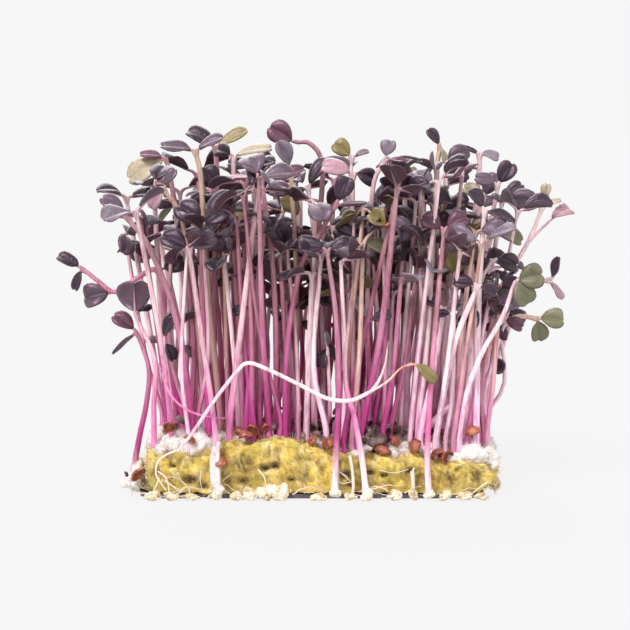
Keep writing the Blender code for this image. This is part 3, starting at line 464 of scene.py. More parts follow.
def strew(name, surface, kit, material, density, seed, smallest, largest, lean):
    """A piece of strewn strands over a surface, so many to a square centimetre, none below the floor."""
    piece = add_object(name, surface.data.copy())
    add_tree(piece, STREWN, strands=kit, density=density * 1e4, seed=seed, smallest=smallest, largest=largest,
             lean=lean, finish=material)
    settle(piece)
    for vert in piece.data.vertices:
        vert.co.z = max(vert.co.z, FLOOR_ROOM * MM)
    return piece


def drop_kit(kit):
    """Removes a kit once its pieces are strewn."""
    for obj in list(kit.objects):
        bpy.data.objects.remove(obj)
    bpy.data.collections.remove(kit)


fibre_material = grown_material("golden_fibre", 0.9, (420, 1500, 1.0, 0.35), (
    (0.74, 0.76, 0.78), (0.95, 0.96, 0.95), (1.0, 1.02, 1.1), (1.12, 1.2, 1.7)),
    sheen=0.3, specular=0.15, tint="tint")
core = make_core()
core.data.materials.append(fibre_material)
fibres = strand_kit("fibre_kit", seed=7, material=fibre_material, length=1.8, girth=0.062, curl=0.8, count=4)
mat_fibres = strew("mat_fibres", core, fibres, fibre_material, density=190, seed=11,
                   smallest=0.5, largest=1.5, lean=1.1)
drop_kit(fibres)
finish_piece(core, "mat_fibre", "growing_mat")
finish_piece(mat_fibres, "mat_fibre", "growing_mat")

# Root layer
# The white roots that matted between pad and tray and came out along the foot as knobs and coiled
# tips. Moist living root, grown in place. A limp sheet carries knobs, coils and loose threads.
SHEET_LENGTH = 84.0
SHEET_DEPTH = 53.4
SHEET_CELLS = (96, 60)
# The knobs along the front foot: place along it, half width and height
FRONT_KNOBS = ((-36, 1.8, 2.2), (-32, 2.0, 2.0), (-27.5, 1.6, 1.8), (-17.4, 1.7, 2.4), (-13.8, 1.9, 3.2),
               (-10.4, 1.8, 3.5), (-7, 1.9, 3.6), (1.2, 1.8, 1.9), (8.6, 1.4, 1.9), (18.9, 1.5, 2.7),
               (22.9, 1.2, 3.4), (30.2, 1.5, 2.3), (34.6, 1.9, 2.0), (38.4, 1.6, 1.8))
# Where the knobs stand at the front and at the ends, how deep they are and how far apart at the back
KNOB_Y = -27.0
KNOB_X = 42.6
KNOB_DEPTH = 1.25
KNOB_SPACING = 11.4
# Middle and half sizes of the root mass beside the pad's left end
LEFT_MASS = ((-41.4, -14.0, 5.5), (2.3, 6.4, 4.1))
ROOT_CREAM = np.array((0.90, 0.79, 0.66))
ROOT_STRAW = np.array((0.80, 0.64, 0.34))
ROOT_PINK = np.array((0.86, 0.55, 0.62))
KNOB_COILS = 5
RIM_THREADS = 90
THREAD_STEPS = 10


def add_lump(bm, centre, radii, bumps, size, finer=3):
    """A rounded lump with an uneven skin: bumps high, size across, millimetres."""
    made = bmesh.ops.create_icosphere(bm, subdivisions=finer, radius=1)["verts"]
    for vert in made:
        spot = Vector(centre) + Vector(vert.co[k] * radii[k] for k in range(3))
        lift = bumps * rumple(*spot, size)
        vert.co = spot + vert.co.normalized() * lift
        vert.co.z = max(vert.co.z, FLOOR_ROOM)
        vert.co *= MM


def add_clump(bm, draw, middle, half, count=4):
    """A knot of roots: uneven lumps pressed together and flat on the floor."""
    for number in range(count):
        size = [reach * draw.uniform(0.48, 0.78) for reach in half]
        spot = [middle[k] + draw.uniform(-1, 1) * (half[k] - size[k]) for k in range(3)]
        add_lump(bm, spot, size, 0.24, 1.6)


def mesh_piece(name, bm, material):
    """A smooth piece from a finished bmesh, with its material."""
    mesh = bpy.data.meshes.new(name)
    bm.to_mesh(mesh)
    bm.free()
    mesh.materials.append(material)
    smooth(mesh)
    return add_object(name, mesh)


def knob_places():
    """Middle and half sizes of each knob, as the CAD's root layer has them."""
    knobs = [(x, KNOB_Y, half, KNOB_DEPTH, height) for x, half, height in FRONT_KNOBS]
    rear = int(SHEET_LENGTH / KNOB_SPACING) - 1
    for number in range(rear):
        x = (number - (rear - 1) / 2) * KNOB_SPACING
        knobs.append((x, -KNOB_Y, 1.8, KNOB_DEPTH, 2.6 + 0.8 * math.sin(2.3 * number)))
    for number in range(3):
        y = -13 + number * 14.0
        height = 2.6 + 0.7 * math.cos(2.1 * number)
        knobs.append((KNOB_X, y, KNOB_DEPTH, 1.9, height))
        if y > LEFT_MASS[0][1] + LEFT_MASS[1][1] + 3:
            knobs.append((-KNOB_X, y, KNOB_DEPTH, 1.9, height))
    return knobs


def root_sheet(bm):
    """The limp sheet under the mat, its rim frayed and uneven."""
    across, deep = SHEET_CELLS
    rows = []
    for j in range(deep + 1):
        row = []
        for i in range(across + 1):
            u, v = i / across * 2 - 1, j / deep * 2 - 1
            pull = 1 - 0.11 * (abs(u * v)) ** 5
            x, y = u * SHEET_LENGTH / 2 * pull, v * SHEET_DEPTH / 2 * pull
            rim = max(abs(u), abs(v)) ** 14
            x -= u * rim * (0.5 + 0.9 * abs(rumple(x, y, 0, 4)))
            y -= v * rim * ((3.0 if v < 0 else 1.5) + rumple(x, y, 9, 3))
            z = SHEET_FOOT + SHEET_THICKNESS / 2 + 0.22 * rim * rumple(x, y, 3, 3)
            row.append((x, y, z, SHEET_THICKNESS / 2 * (1 - 0.7 * rim)))
        rows.append(row)
    sides = [[[bm.verts.new(Vector((x, y, z + way * half)) * MM) for x, y, z, half in row] for row in rows]
             for way in (1, -1)]
    top, foot = sides
    for j in range(deep):
        for i in range(across):
            bm.faces.new((top[j][i], top[j][i + 1], top[j + 1][i + 1], top[j + 1][i]))
            bm.faces.new((foot[j][i], foot[j + 1][i], foot[j + 1][i + 1], foot[j][i + 1]))
    rim = [(0, i) for i in range(across)] + [(j, across) for j in range(deep)]
    rim += [(deep, i) for i in range(across, 0, -1)] + [(j, 0) for j in range(deep, 0, -1)]
    for (j, i), (jj, ii) in zip(rim, rim[1:] + rim[:1]):
        bm.faces.new((top[j][i], foot[j][i], foot[jj][ii], top[jj][ii]))


def coil_path(draw, centre, reach, girth, turns=1.3, count=14):
    """A root tip that curls round a knob."""
    start, tilt = draw.uniform(0, 2 * math.pi), draw.uniform(-0.7, 0.7)
    points = []
    for step in range(count):
        share = step / (count - 1)
        a = start + turns * 2 * math.pi * share
        size = 1.0 - 0.35 * share
        points.append((centre[0] + reach[0] * size * math.cos(a),
                       centre[1] + reach[1] * size * math.sin(a) * math.cos(tilt),
                       centre[2] + reach[2] * (0.8 * math.sin(a) * math.sin(tilt) + 0.9 * share - 0.35)))
    girths = girth * np.linspace(1.0, 0.55, count)
    return np.array(points), girths


def root_colours(draw, count, flush=0.0):
    """Cream white, now and then a little pink or straw."""
    shade = draw.uniform(0.78, 1.0)
    straw = draw.uniform(0, 0.5)
    base = mixed(ROOT_CREAM, ROOT_STRAW, straw)
    return np.tile(mixed(base * shade, ROOT_PINK, flush), (count, 1))


root_material = grown_material("white_root", 0.5, (700, 4000, 0.6, 0.4), (
    (0.28, 0.18, 0.08), (0.56, 0.40, 0.22), (0.77, 0.62, 0.42), (0.86, 0.77, 0.62)), under=0.15)
root_strand_material = grown_material("root_strand", 0.45, (900, 5000, 0.5, 0.25), (
    (0.86, 0.84, 0.82), (1.0, 1.0, 1.0)), under=0.15, tint="tint")
# The sheet's dark brown is partly fibre stain and partly painted shade, for the narrow gap under the pad
# where it lies.
stain_and_shade_material = grown_material("stained_root", 0.7, (500, 3000, 1.0, 0.5), (
    (0.20, 0.14, 0.06), (0.42, 0.33, 0.15), (0.66, 0.57, 0.38)), specular=0.3)
draw = random.Random(5)
bm = bmesh.new()
root_sheet(bm)
root_layer = mesh_piece("root_layer_sheet", bm, stain_and_shade_material)
bm = bmesh.new()
coils = []
for x, y, half_x, half_y, height in knob_places():
    middle = (x, y, height / 2)
    add_clump(bm, draw, middle, (half_x, half_y, 0.56 * height))
    for number in range(KNOB_COILS):
        centre = (x + draw.uniform(-0.5, 0.5) * half_x, y + draw.gauss(0, 0.2),
                  height * draw.uniform(0.3, 0.6))
        reach = (half_x * draw.uniform(0.35, 0.75), 0.75 * half_y, height * draw.uniform(0.3, 0.46))
        points, girths = coil_path(draw, centre, reach, draw.uniform(0.26, 0.46), draw.uniform(0.5, 1.3))
        points[:, 2] = np.maximum(points[:, 2], girths + FLOOR_ROOM)
        coils.append((points, girths, root_colours(draw, len(points))))
root_knobs = mesh_piece("root_layer_knobs", bm, root_material)


def rim_thread(draw, x, y, way, length):
    """A thin root that runs along the foot, now and then up the pad's side."""
    heading = draw.uniform(-0.4, 0.3) if draw.random() < 0.85 else draw.uniform(0.8, 2.3)
    point, points = np.array((x, y, draw.uniform(1.2, 2.2))), []
    for step in range(THREAD_STEPS):
        points.append(point.copy())
        heading += draw.gauss(0, 0.35)
        along, rise = math.cos(heading), math.sin(heading)
        point = point + np.array((way[1] * along, way[0] * along, rise * 0.8)) * length / (THREAD_STEPS - 1)
        point[2] = max(0.4, point[2])
    return np.array(points), draw.uniform(0.09, 0.2) * np.linspace(1, 0.5, THREAD_STEPS)


for number in range(RIM_THREADS):
    side = draw.random()
    if side < 0.4:
        spot, way = (draw.uniform(-38, 40), -25.6), (0, draw.choice((-1, 1)))
    elif side < 0.75:
        spot, way = (draw.uniform(-38, 40), 26.1), (0, draw.choice((-1, 1)))
    else:
        spot, way = (draw.choice((-41.2, 42.0)), draw.uniform(-22, 24)), (draw.choice((-1, 1)), 0)
    points, girths = rim_thread(draw, *spot, way, draw.uniform(4, 9))
    coils.append((points, girths, root_colours(draw, len(points), draw.choice((0, 0, 0.2)))))
root_threads = draw_tubes("root_layer_threads", coils, root_strand_material, 6)
finish_piece(root_layer, "root", "root_layer")
finish_piece(root_knobs, "root", "root_layer")
finish_piece(root_threads, "root", "root_layer")

# Seedlings
# Radish sprouts a few days old: a smooth juicy stem, magenta at the foot and paler above, and two
# heart-shaped seed leaves on short stalks. Grown from seed in the mat. Each takes its path and its
# leaves from the same rules as the CAD's bunches, and the pieces stand for them row by row.

# The root tufts, each in its own hole in the mat, and the places in a tuft where stems stand
TUFT_COLUMNS = 9
TUFT_PITCH = 8.75
TUFT_FIRST_X = -33.2
TUFT_ROWS = (-18.6, -6.2, 6.2, 18.6)
SLOTS = ((-1.9, -1.2), (1.9, -0.7), (-0.1, 1.9))

# The stem's crown, how far from its middle a stalk begins, and a stalk's width
CROWN_HEIGHT = 0.9
STALK_ROOT = 0.45
STALK_WIDTH = 0.95

# The room that a spot on a blade or a stem keeps round itself in the test that keeps them apart
BLADE_REACH = 1.08
STEM_REACH = 1.0
# Below this height the stems of one tuft may touch
SHARED_HEIGHT = 23.0

# The eye that the front view is read from, and the depth where that view is true to size
VIEW_DISTANCE = 472.0
VIEW_FALL = math.tan(math.radians(5))
VIEW_HEIGHT = 42.0
VIEW_FRONT = -26.0

# The blades' tones, by the names that the seedlings give them
# The grey tone is painted sheen: the grey that a glossy dark blade shows where it reflects the white around
# it, painted into its colour.
LEAF_COLOURS = {
    "dark": (0.016, 0.0085, 0.017), "mauve": (0.078, 0.052, 0.074), "plum": (0.092, 0.032, 0.053),
    "green": (0.160, 0.172, 0.083), "olive": (0.20, 0.165, 0.050), "beige": (0.36, 0.31, 0.21),
    "silver": (0.165, 0.135, 0.165), "pink": (0.36, 0.21, 0.24),
}


@dataclass
class Leaf:
    """One blade with its stalk: angle in the front view, sizes, and how it is turned."""
    angle: float
    length: float
    width: float
    roll: float = 60.0
    stalk: float = 0.6
    curl: float = 14.0
    fold: float = 16.0
    swing: float = 0.0
    tone: str = "dark"
    at: tuple = None


@dataclass
class Seedling:
    """A stem from its foot through its bends to its crown, as seen from the front."""
    foot: float
    row: int
    bends: tuple
    leaves: tuple


# The seedlings that can be told apart in the front view: foot, row, bends up to the crown, leaves
FEATURED = (
    Seedling(-36.5, 0, ((-35.7, 22), (-35.4, 32), (-39.6, 41.6)), (
        Leaf(92, 6.8, 8.6, 88, tone="mauve"), Leaf(50, 5, 4.6, 30, 1.5, swing=-60))),
    Seedling(-31, 1, ((-31.5, 28), (-33, 43), (-34.8, 52), (-39.5, 50.3), (-44.3, 47.3), (-48, 49.7),
                      (-51.3, 52.4)), (
        Leaf(150, 5.4, 4.4, 45), Leaf(248, 4.8, 3, 60, 0.4),
        Leaf(190, 6.0, 6.8, 70, 1.2, 25, 24, tone="mauve", at=(-44.3, 47.3)),
        Leaf(22, 5, 4.8, 75, 1.4, at=(-34.8, 52)))),
    Seedling(-27.3, 0, ((-28.3, 27), (-31, 43), (-36.6, 57.5), (-41.2, 63.7)), (
        Leaf(138, 6.4, 4.4, 50, tone="mauve"), Leaf(168, 4.2, 2.8, 12, 0.4))),
    Seedling(-30, 2, ((-31, 30), (-33, 48), (-36.2, 56.8)), (
        Leaf(160, 7.4, 3.8, 22, 1.0, 75), Leaf(100, 5.8, 4.8, 70, 1.4))),
    Seedling(-29, 3, ((-30, 40), (-34.8, 61.5)), (
        Leaf(58, 4.8, 3.2, 40, tone="green"), Leaf(8, 5.4, 4.2, 30, 0.6, 20))),
    Seedling(-26, 2, ((-27.5, 40), (-30.6, 66), (-32.5, 77)), (
        Leaf(207, 9.4, 6.8, 58, 0.8, 12, 10, tone="beige"), Leaf(172, 5.2, 4.4, 30, 0.8, 8, tone="plum"))),
    Seedling(-22, 1, ((-23.5, 50), (-24.8, 72), (-26, 78.6)), (
        Leaf(172, 7.2, 5.4, 32, 0.6, 5, tone="mauve"), Leaf(26, 6.2, 5.2, 30, 0.6, 5, tone="mauve"))),
    Seedling(-19.5, 2, ((-20.5, 50), (-21, 70), (-21.6, 79.3)), (
        Leaf(143, 6.8, 6.2, 42, 0.6, 25), Leaf(30, 7.6, 4.8, 42, 0.6, 8, tone="olive"))),
    Seedling(-25, 1, ((-26, 45), (-29.5, 64), (-33, 70)), (
        Leaf(236, 4.6, 3.6, 60, 0.4, tone="pink"), Leaf(62, 4.4, 3.4, 50, tone="mauve"))),
    Seedling(-16, 1, ((-16.5, 50), (-17.5, 70), (-17.6, 77.4)), (
        Leaf(14, 8.2, 4.8, 32, 0.6, 10, tone="beige"), Leaf(158, 5, 4.4, 55, swing=-40))),
    Seedling(-12, 2, ((-12, 50), (-13.4, 74.4)), (
        Leaf(163, 5, 4.8, 40), Leaf(38, 4.8, 5, 58))),
    Seedling(-8, 0, ((-8.5, 50), (-11.3, 72.6)), (
        Leaf(12, 6.2, 5.6, 42, tone="mauve"), Leaf(184, 8.2, 3.6, 12, 0.5, 0, tone="pink"))),
    Seedling(-24, 0, ((-24.5, 45), (-24.8, 61.6)), (
        Leaf(132, 6.4, 6.2, 70, 0.6, 30), Leaf(38, 6, 6, 60, 0.8, 25))),
    Seedling(-21.5, 1, ((-21.8, 50), (-21.8, 69.2)), (
        Leaf(110, 5.6, 5.4, 72), Leaf(200, 5.4, 5, 40, 0.6, 25))),
    Seedling(-13, 0, ((-12.6, 45), (-10.2, 64.4)), (
        Leaf(163, 7, 5.6, 25, 0.5, 22), Leaf(-55, 7, 6, 70, 0.5, 22))),
    Seedling(-1, 2, ((0, 45), (2.2, 70), (2.0, 77.2), (-0.6, 80.6), (-3.6, 80.8)), (
        Leaf(146, 6.2, 6.4, 82, 0.3, 8, tone="plum"),
        Leaf(-12, 6, 4.4, 35, 0.6, tone="mauve", at=(2.1, 76)))),
    Seedling(-4, 1, ((-3.5, 50), (-4.8, 74.6)), (
        Leaf(118, 6.2, 5.2, 66, 0.4, -10, 40, tone="silver"), Leaf(196, 4.6, 3.8, 35, tone="mauve"))),
    Seedling(-6, 3, ((-6.2, 50), (-8.6, 71)), (
        Leaf(31, 7.6, 4.8, 48, tone="plum"), Leaf(170, 5, 4.6, 30))),
    Seedling(7, 2, ((7.5, 50), (8.8, 77.1)), (
        Leaf(140, 4.8, 4.8, 70, 0.3, tone="olive"), Leaf(22, 3.4, 2.6, 40, tone="silver"))),
    Seedling(-6.5, 0, ((-5.6, 35), (-2.6, 52.5), (1.2, 59.2), (5.2, 66.6)), (
        Leaf(66, 5.6, 4.8, 78, 0.8, 8), Leaf(-3, 6, 3.4, 12, 0.6, -10, tone="mauve"))),
    Seedling(9, 1, ((8.5, 45), (9.2, 73.6)), (
        Leaf(166, 6.6, 5.6, 45, 0.5, tone="pink"), Leaf(-12, 5, 4.6, 70, 0.5, 60))),
    Seedling(2.5, 1, ((2, 45), (-0.8, 70.4)), (
        Leaf(62, 7.2, 4.6, 50, 0.5, 24), Leaf(205, 5.4, 4.8, 40))),
    Seedling(13, 1, ((12.5, 45), (13.5, 69.5), (16.2, 76.8)), (
        Leaf(76, 3.8, 4.2, 65, 0.3, tone="silver"), Leaf(-34, 5.4, 5.4, 75, 0.3, tone="plum"))),
    Seedling(19, 2, ((19.5, 50), (18, 76.6)), (
        Leaf(-3, 6.2, 4.6, 20, 0.3, 10), Leaf(200, 4.6, 4, 40, swing=-50))),
    Seedling(22, 1, ((21.6, 45), (20.6, 73.2)), (
        Leaf(-18, 6.2, 5.4, 60, 0.4, 15, tone="silver"), Leaf(215, 5, 4.6, 60))),
    Seedling(27, 2, ((27.3, 50), (27.9, 74), (28.6, 79.6)), (
        Leaf(125, 4.4, 3, 65, 0.2, 5), Leaf(-70, 4, 2.8, 40, 0.4, tone="beige"))),
    Seedling(30, 2, ((30, 50), (30, 68), (29.8, 75.8)), (
        Leaf(32, 5.4, 4.8, 65, 0.4, tone="mauve"), Leaf(-5, 7, 3.4, 16, 0.4, tone="silver"))),
    Seedling(35, 2, ((35, 50), (37.2, 72), (37.4, 78)), (
        Leaf(162, 4.4, 2.6, 30, 0.2, 5), Leaf(-12, 4.2, 3.8, 42, 0.2, tone="silver"))),
    Seedling(33, 1, ((34.5, 50), (36.3, 62), (38.3, 68)), (
        Leaf(62, 5.4, 5, 55, tone="mauve"), Leaf(150, 4.4, 3.8, 60, tone="beige"))),
    Seedling(36, 1, ((37, 45), (40, 62), (41.6, 71)), (
        Leaf(58, 5.2, 5, 76, 0.3, 8, 24), Leaf(160, 4.6, 4.4, 50, tone="mauve"))),
    Seedling(38, 3, ((39, 45), (42.6, 67.6)), (
        Leaf(42, 5.2, 4.4, 55), Leaf(188, 5.2, 4.4, 45))),
    Seedling(37, 1, ((39.5, 35), (44, 50), (48.6, 58.8), (51.6, 66.2)), (
        Leaf(164, 6.8, 6.4, 66, 0.3, tone="mauve"), Leaf(80, 3.8, 3, 60, 1.2, 5, tone="beige"),
        Leaf(22, 3.4, 2.4, 40, tone="beige"),
        Leaf(44, 7.2, 4.2, 60, 7.2, 100, tone="pink", at=(48.6, 58.8)))),
    Seedling(37, 0, ((37.5, 45), (38.6, 65.2)), (
        Leaf(-17, 6.8, 4.6, 32, 0.4, 15), Leaf(120, 4.6, 4, 55))),
    Seedling(34, 1, ((35.5, 40), (40.6, 61)), (
        Leaf(-22, 6.6, 5, 46, 0.4, 10, tone="green"), Leaf(178, 5, 4.4, 50))),
    Seedling(35, 0, ((36, 36), (38, 50), (40.6, 54.4)), (
        Leaf(-14, 5.0, 4.8, 62, 0.4, 12), Leaf(205, 5, 4.4, 50))),
    Seedling(33, 0, ((34.8, 24), (38.3, 33.5), (42.8, 41.5), (45.6, 49.6)), (
        Leaf(12, 5.6, 6.2, 80, 0.4, 8, tone="green"), Leaf(-62, 5.4, 5.6, 75, 0.4, tone="green"))),
    Seedling(41, 2, ((42, 33), (46, 44), (50, 49.4), (53.2, 49.9)), (
        Leaf(64, 5.2, 3.4, 38, 0.4, -25, tone="mauve"), Leaf(-66, 4.6, 3.2, 38, 0.4, -20, tone="pink"))),
    Seedling(39, 1, ((40, 28), (42, 38), (45.8, 41.6), (50.4, 41.4)), (
        Leaf(-2, 5.4, 5.2, 70, 0.3, tone="green"), Leaf(-86, 4.8, 5, 66, 0.3, tone="green"))),
    Seedling(37, 0, ((38, 28), (40, 37), (42.8, 41)), (
        Leaf(-24, 4.4, 3.6, 60, 0.3, tone="plum"), Leaf(100, 4.4, 3.6, 50))),
    Seedling(31, 0, ((32, 35), (37.2, 48.6)), (
        Leaf(-25, 4, 3.2, 60, 0.3), Leaf(170, 4.6, 4, 50))),
    Seedling(27, 0, ((27.6, 30), (29.6, 43.2)), (
        Leaf(8, 4.6, 3.4, 50, 0.3, 6, tone="silver"), Leaf(150, 4, 3.4, 50))),
    Seedling(36.5, 0, ((36.4, 26), (36.2, 38.6)), (
        Leaf(78, 4.6, 3.8, 70, 0.3, 6), Leaf(200, 3.6, 3, 60))),
)

# Seedlings whose root runs down the mat's front face: how far back they lean, the bends, the leaves
FRONT_ROOT_Y = -27.0
FRONT_FACE_TOP = 14.5
FRONT_SEEDLINGS = (
    (5.0, (-21.4, 1.6), (-21.6, 12), (-22.6, 22), (-24.8, 37), (-27.4, 56.5),
     (Leaf(150, 6, 5.6, 60, 0.6, 20), Leaf(28, 5.6, 5.4, 55, 0.6, 20, tone="mauve"))),
    (2.5, (5.2, 1.6), (5.5, 12), (6.1, 25), (5.4, 42), (3.4, 56.5),
     (Leaf(168, 6, 5.4, 50, 0.6, 20), Leaf(8, 5.8, 5.4, 50, 0.6, 20))),
    (10.0, (12.3, 1.6), (11.4, 9), (9.8, 18), (7.4, 31), (10.8, 58.5),
     (Leaf(152, 5.6, 5.4, 55, 0.6, 20), Leaf(-18, 6.4, 4.8, 45, 0.6, 10, tone="green"))),
    (5.0, (26.5, 1.6), (26.1, 9), (26.4, 19), (27.4, 35), (29.6, 61.0),
     (Leaf(150, 4.8, 5.2, 60, 0.5, 14, tone="plum"), Leaf(30, 5.2, 5.2, 60, 0.5, 14, tone="plum"))),
)

# The seedling at the left end, on its root mass beside the mat
LEFT_PATH = ((-40.6, 6), (-38.9, 15), (-37.4, 22), (-36.8, 30), (-39.3, 38.0))
LEFT_LEAVES = (Leaf(142, 5.6, 5, 50, 0.6, 15, tone="plum"), Leaf(222, 6.6, 1.8, 40, 0.8, 5))

# The fallen white seedling across the front, with the arm that bears its leaf
FALLEN_Y = -28.6
FALLEN_PATH = ((-30.6, 10.6), (-27.2, 15), (-21.8, 23), (-17.6, 28.4), (-14.6, 31.2), (-10, 29.8), (-3, 26.4),
               (2.4, 23.6), (6, 22.7), (9.4, 22.9), (13.5, 24.9))
FALLEN_ARM = ((13.5, 24.9), (17, 27), (20, 30), (22.6, 31.2))
FALLEN_LEAF = Leaf(-40, 5.8, 3.2, 60, 0.4, 10, tone="olive")

# How far a featured seedling may root from its foot in the front view, what a row's shift counts for,
# and the leans in depth that it tries
FOOT_REACH = 13.0
ROW_COST = 7.0
PLACES_TRIED = 14
LEANS = (0, 3.5, -3.5, 7, -7)
FOOT_RISE = 0.3
UPRIGHT = 5.0

# The filling seedlings, drawn by a seeded rule
SEED = 41
FILL_TRIES = 60
FILL_CROWNS = (47.0, 73.0)
FILL_TONES = ("dark", "dark", "dark", "mauve", "plum", "dark", "silver")


def curve_through(knots, count):
    """Points on a Catmull-Rom curve through the knots, evenly spread over its spans."""
    knots = np.array(knots, dtype=float)
    padded = np.vstack([2 * knots[0] - knots[1], knots, 2 * knots[-1] - knots[-2]])
    points = []
    for step in np.linspace(0, len(knots) - 1, count):
        span = min(int(step), len(knots) - 2)
        t = step - span
        p0, p1, p2, p3 = padded[span:span + 4]
        points.append(0.5 * (2 * p1 + (p2 - p0) * t + (2 * p0 - 5 * p1 + 4 * p2 - p3) * t ** 2
                             + (3 * p1 - p0 - 3 * p2 + p3) * t ** 3))
    return np.array(points)


def sighted(x, z, y):
    """The place at depth y that the front view shows at (x, z)."""
    behind = y - VIEW_FRONT
    spread = 1 + behind / VIEW_DISTANCE
    return np.array([x * spread, y, VIEW_HEIGHT + (z - VIEW_HEIGHT) * spread - behind * VIEW_FALL])


def tuft_places():
    """The tufts' centres, row by row, each row shifted a little from the last."""
    places = []
    for row, y in enumerate(TUFT_ROWS):
        for column in range(TUFT_COLUMNS):
            x = TUFT_FIRST_X + TUFT_PITCH * column + (1.1 if row % 2 else -1.1)
            places.append((row, x, y + 0.9 * math.sin(2.1 * column + row)))
    return places


def leaf_axes(leaf, viewed=True):
    """Directions along, across and out of the blade's upper face at its base."""
    a, t = math.radians(leaf.angle), math.radians(leaf.swing)
    if viewed:
        along = Vector((math.cos(a) * math.cos(t), -math.sin(t), math.sin(a) * math.cos(t)))
    else:
        along = Vector((math.cos(a) * math.cos(t), math.sin(a) * math.cos(t), math.sin(t)))
    side = Vector((0, 0, 1)).cross(along)
    side = side.normalized() if side.length > 0.05 else Vector((0, 1, 0))
    facing = 1 if along.x >= 0 or not viewed else -1
    side.rotate(Matrix.Rotation(math.radians(leaf.roll) * facing, 3, along))
    return along, side, along.cross(side)


def leaf_point(base, axes, leaf, s, v):
    """A point of the blade's middle surface: s along it from its base, v across from -1 to 1."""
    along, side, out = axes
    start = Vector(base) + along * leaf.stalk
    if s < 0:
        return start + along * (s * leaf.stalk) + side * (v * STALK_WIDTH / 2)
    turn = math.radians(leaf.curl) * s
    if abs(turn) > 0.001:
        reach = leaf.length * s * math.sin(turn) / turn
        drop = leaf.length * s * (1 - math.cos(turn)) / turn
    else:
        reach, drop = leaf.length * s, 0.0
    lift = out * math.cos(turn) + along * math.sin(turn)
    fold = math.radians(leaf.fold)
    half = v * leaf.width / 2
    lobe = side * (half * math.cos(fold)) + lift * (abs(half) * math.sin(fold))
    return start + along * reach - out * drop + lobe


def leaf_samples(base, axes, leaf):
    """Places on the blade for the test that keeps leaves and stems apart."""
    spots = []
    for s in (0.1, 0.35, 0.62, 0.92):
        for v in (-0.8, -0.3, 0.3, 0.8):
            spots.append(leaf_point(base, axes, leaf, s, v * (0.4 + 0.6 * min(1, s / 0.35))))
    for part in range(int(leaf.stalk / 1.2)):
        spots.append(leaf_point(base, axes, leaf, -(part + 0.5) * 1.2 / leaf.stalk, 0))
    return spots


def plan_seedling(path, leaves, viewed=True):
    """A seedling worked out in space: its path, and each leaf with its base and axes."""
    blades = []
    crown = Vector(path[-1]) + Vector(path[-1] - path[-2]).normalized() * (CROWN_HEIGHT / 2)
    for leaf in leaves:
        axes = leaf_axes(leaf, viewed)
        base = crown
        if leaf.at:
            nearest = min(range(len(path)), key=lambda i: math.dist((path[i][0], path[i][2]), leaf.at))
            base = Vector(path[nearest])
        blades.append((leaf, base + axes[0] * STALK_ROOT, axes))
    dense = curve_through(path, max(8, int(len(path) * 8)))
    spots = [dense]
    reaches = [np.full(len(dense), STEM_REACH)]
    for leaf, base, axes in blades:
        points = leaf_samples(base, axes, leaf)
        spots.append(np.array(points))
        reaches.append(np.full(len(points), BLADE_REACH))
    return {"path": path, "blades": blades, "spots": np.vstack(spots), "reaches": np.concatenate(reaches)}


def clearance(plan, owner, placed):
    """The least space between a planned seedling and those already placed, below zero where they meet."""
    low, high = plan["spots"].min(axis=0) - 3, plan["spots"].max(axis=0) + 3
    least = 9.0
    for other_owner, other in placed:
        near = np.all((other["spots"] > low) & (other["spots"] < high), axis=1)
        if other_owner == owner:
            near &= other["spots"][:, 2] > SHARED_HEIGHT
        if not near.any():
            continue
        spots, reaches = other["spots"][near], other["reaches"][near]
        apart = np.sqrt(((plan["spots"][:, None, :] - spots[None, :, :]) ** 2).sum(axis=2))
        apart -= plan["reaches"][:, None] + reaches[None, :]
        least = min(least, float(apart.min()))
    return least


def rooted_path(foot_xyz, bends, crown_y):
    """A stem's path from its tuft through its bends, with depth turning evenly from foot to crown."""
    top = max(z for x, z in bends)
    points = [foot_xyz, foot_xyz + np.array([0, 0, UPRIGHT])]
    for x, z in bends:
        share = min(1.0, max(0.0, (z - foot_xyz[2]) / (top - foot_xyz[2])))
        points.append(sighted(x, z, foot_xyz[1] + (crown_y - foot_xyz[1]) * share))
    return np.array(points)


def free_places(row_order, foot, used, tufts):
    """Open slots in the tufts of the wanted rows, nearest first."""
    found = []
    for rank, row in enumerate(row_order):
        for index, (tuft_row, x, y) in enumerate(tufts):
            if tuft_row != row:
                continue
            for slot, (dx, dy) in enumerate(SLOTS):
                if (index, slot) not in used and abs(x + dx - foot) < FOOT_REACH:
                    found.append((abs(x + dx - foot) + ROW_COST * rank, index, slot, x + dx, y + dy))
    return sorted(found)


def place_featured(placed, used, tufts):
    """Gives each featured seedling the nearest slot and depth where it is clear of the rest."""
    for seedling in FEATURED:
        rows = sorted(range(len(TUFT_ROWS)), key=lambda row: abs(row - seedling.row))
        best = None
        for cost, index, slot, x, y in free_places(rows, seedling.foot, used, tufts)[:PLACES_TRIED]:
            foot = np.array([x, y, mat_top(*tufts[index][1:]) + FOOT_RISE])
            for lean in LEANS:
                plan = plan_seedling(rooted_path(foot, seedling.bends, y + lean), seedling.leaves)
                space = min(GAP, clearance(plan, index, placed))
                if best is None or space > best[0] + 0.001:
                    best = (space, index, slot, plan)
            if best[0] >= GAP:
                break
        space, index, slot, plan = best
        used.add((index, slot))
        placed.append((index, plan))


def upright_path(foot, middle, crown):
    """A stem's path that leaves its foot straight up and bends once."""
    return np.array([foot, foot + np.array([0, 0, UPRIGHT]), middle, crown])


def random_leaves(draw, tone):
    """A pair of leaves for a filling seedling, facing any way."""
    heading = draw.uniform(0, 360)
    leaves = []
    for turn in (0, 180):
        leaves.append(Leaf(heading + turn + draw.uniform(-25, 25), length=draw.uniform(5.6, 7.2),
                           width=draw.uniform(5.6, 7.4), roll=draw.uniform(-35, 35),
                           stalk=draw.uniform(0.5, 2.4), curl=draw.uniform(5, 45), fold=draw.uniform(8, 28),
                           swing=draw.uniform(-20, 50), tone=tone))
    return tuple(leaves)


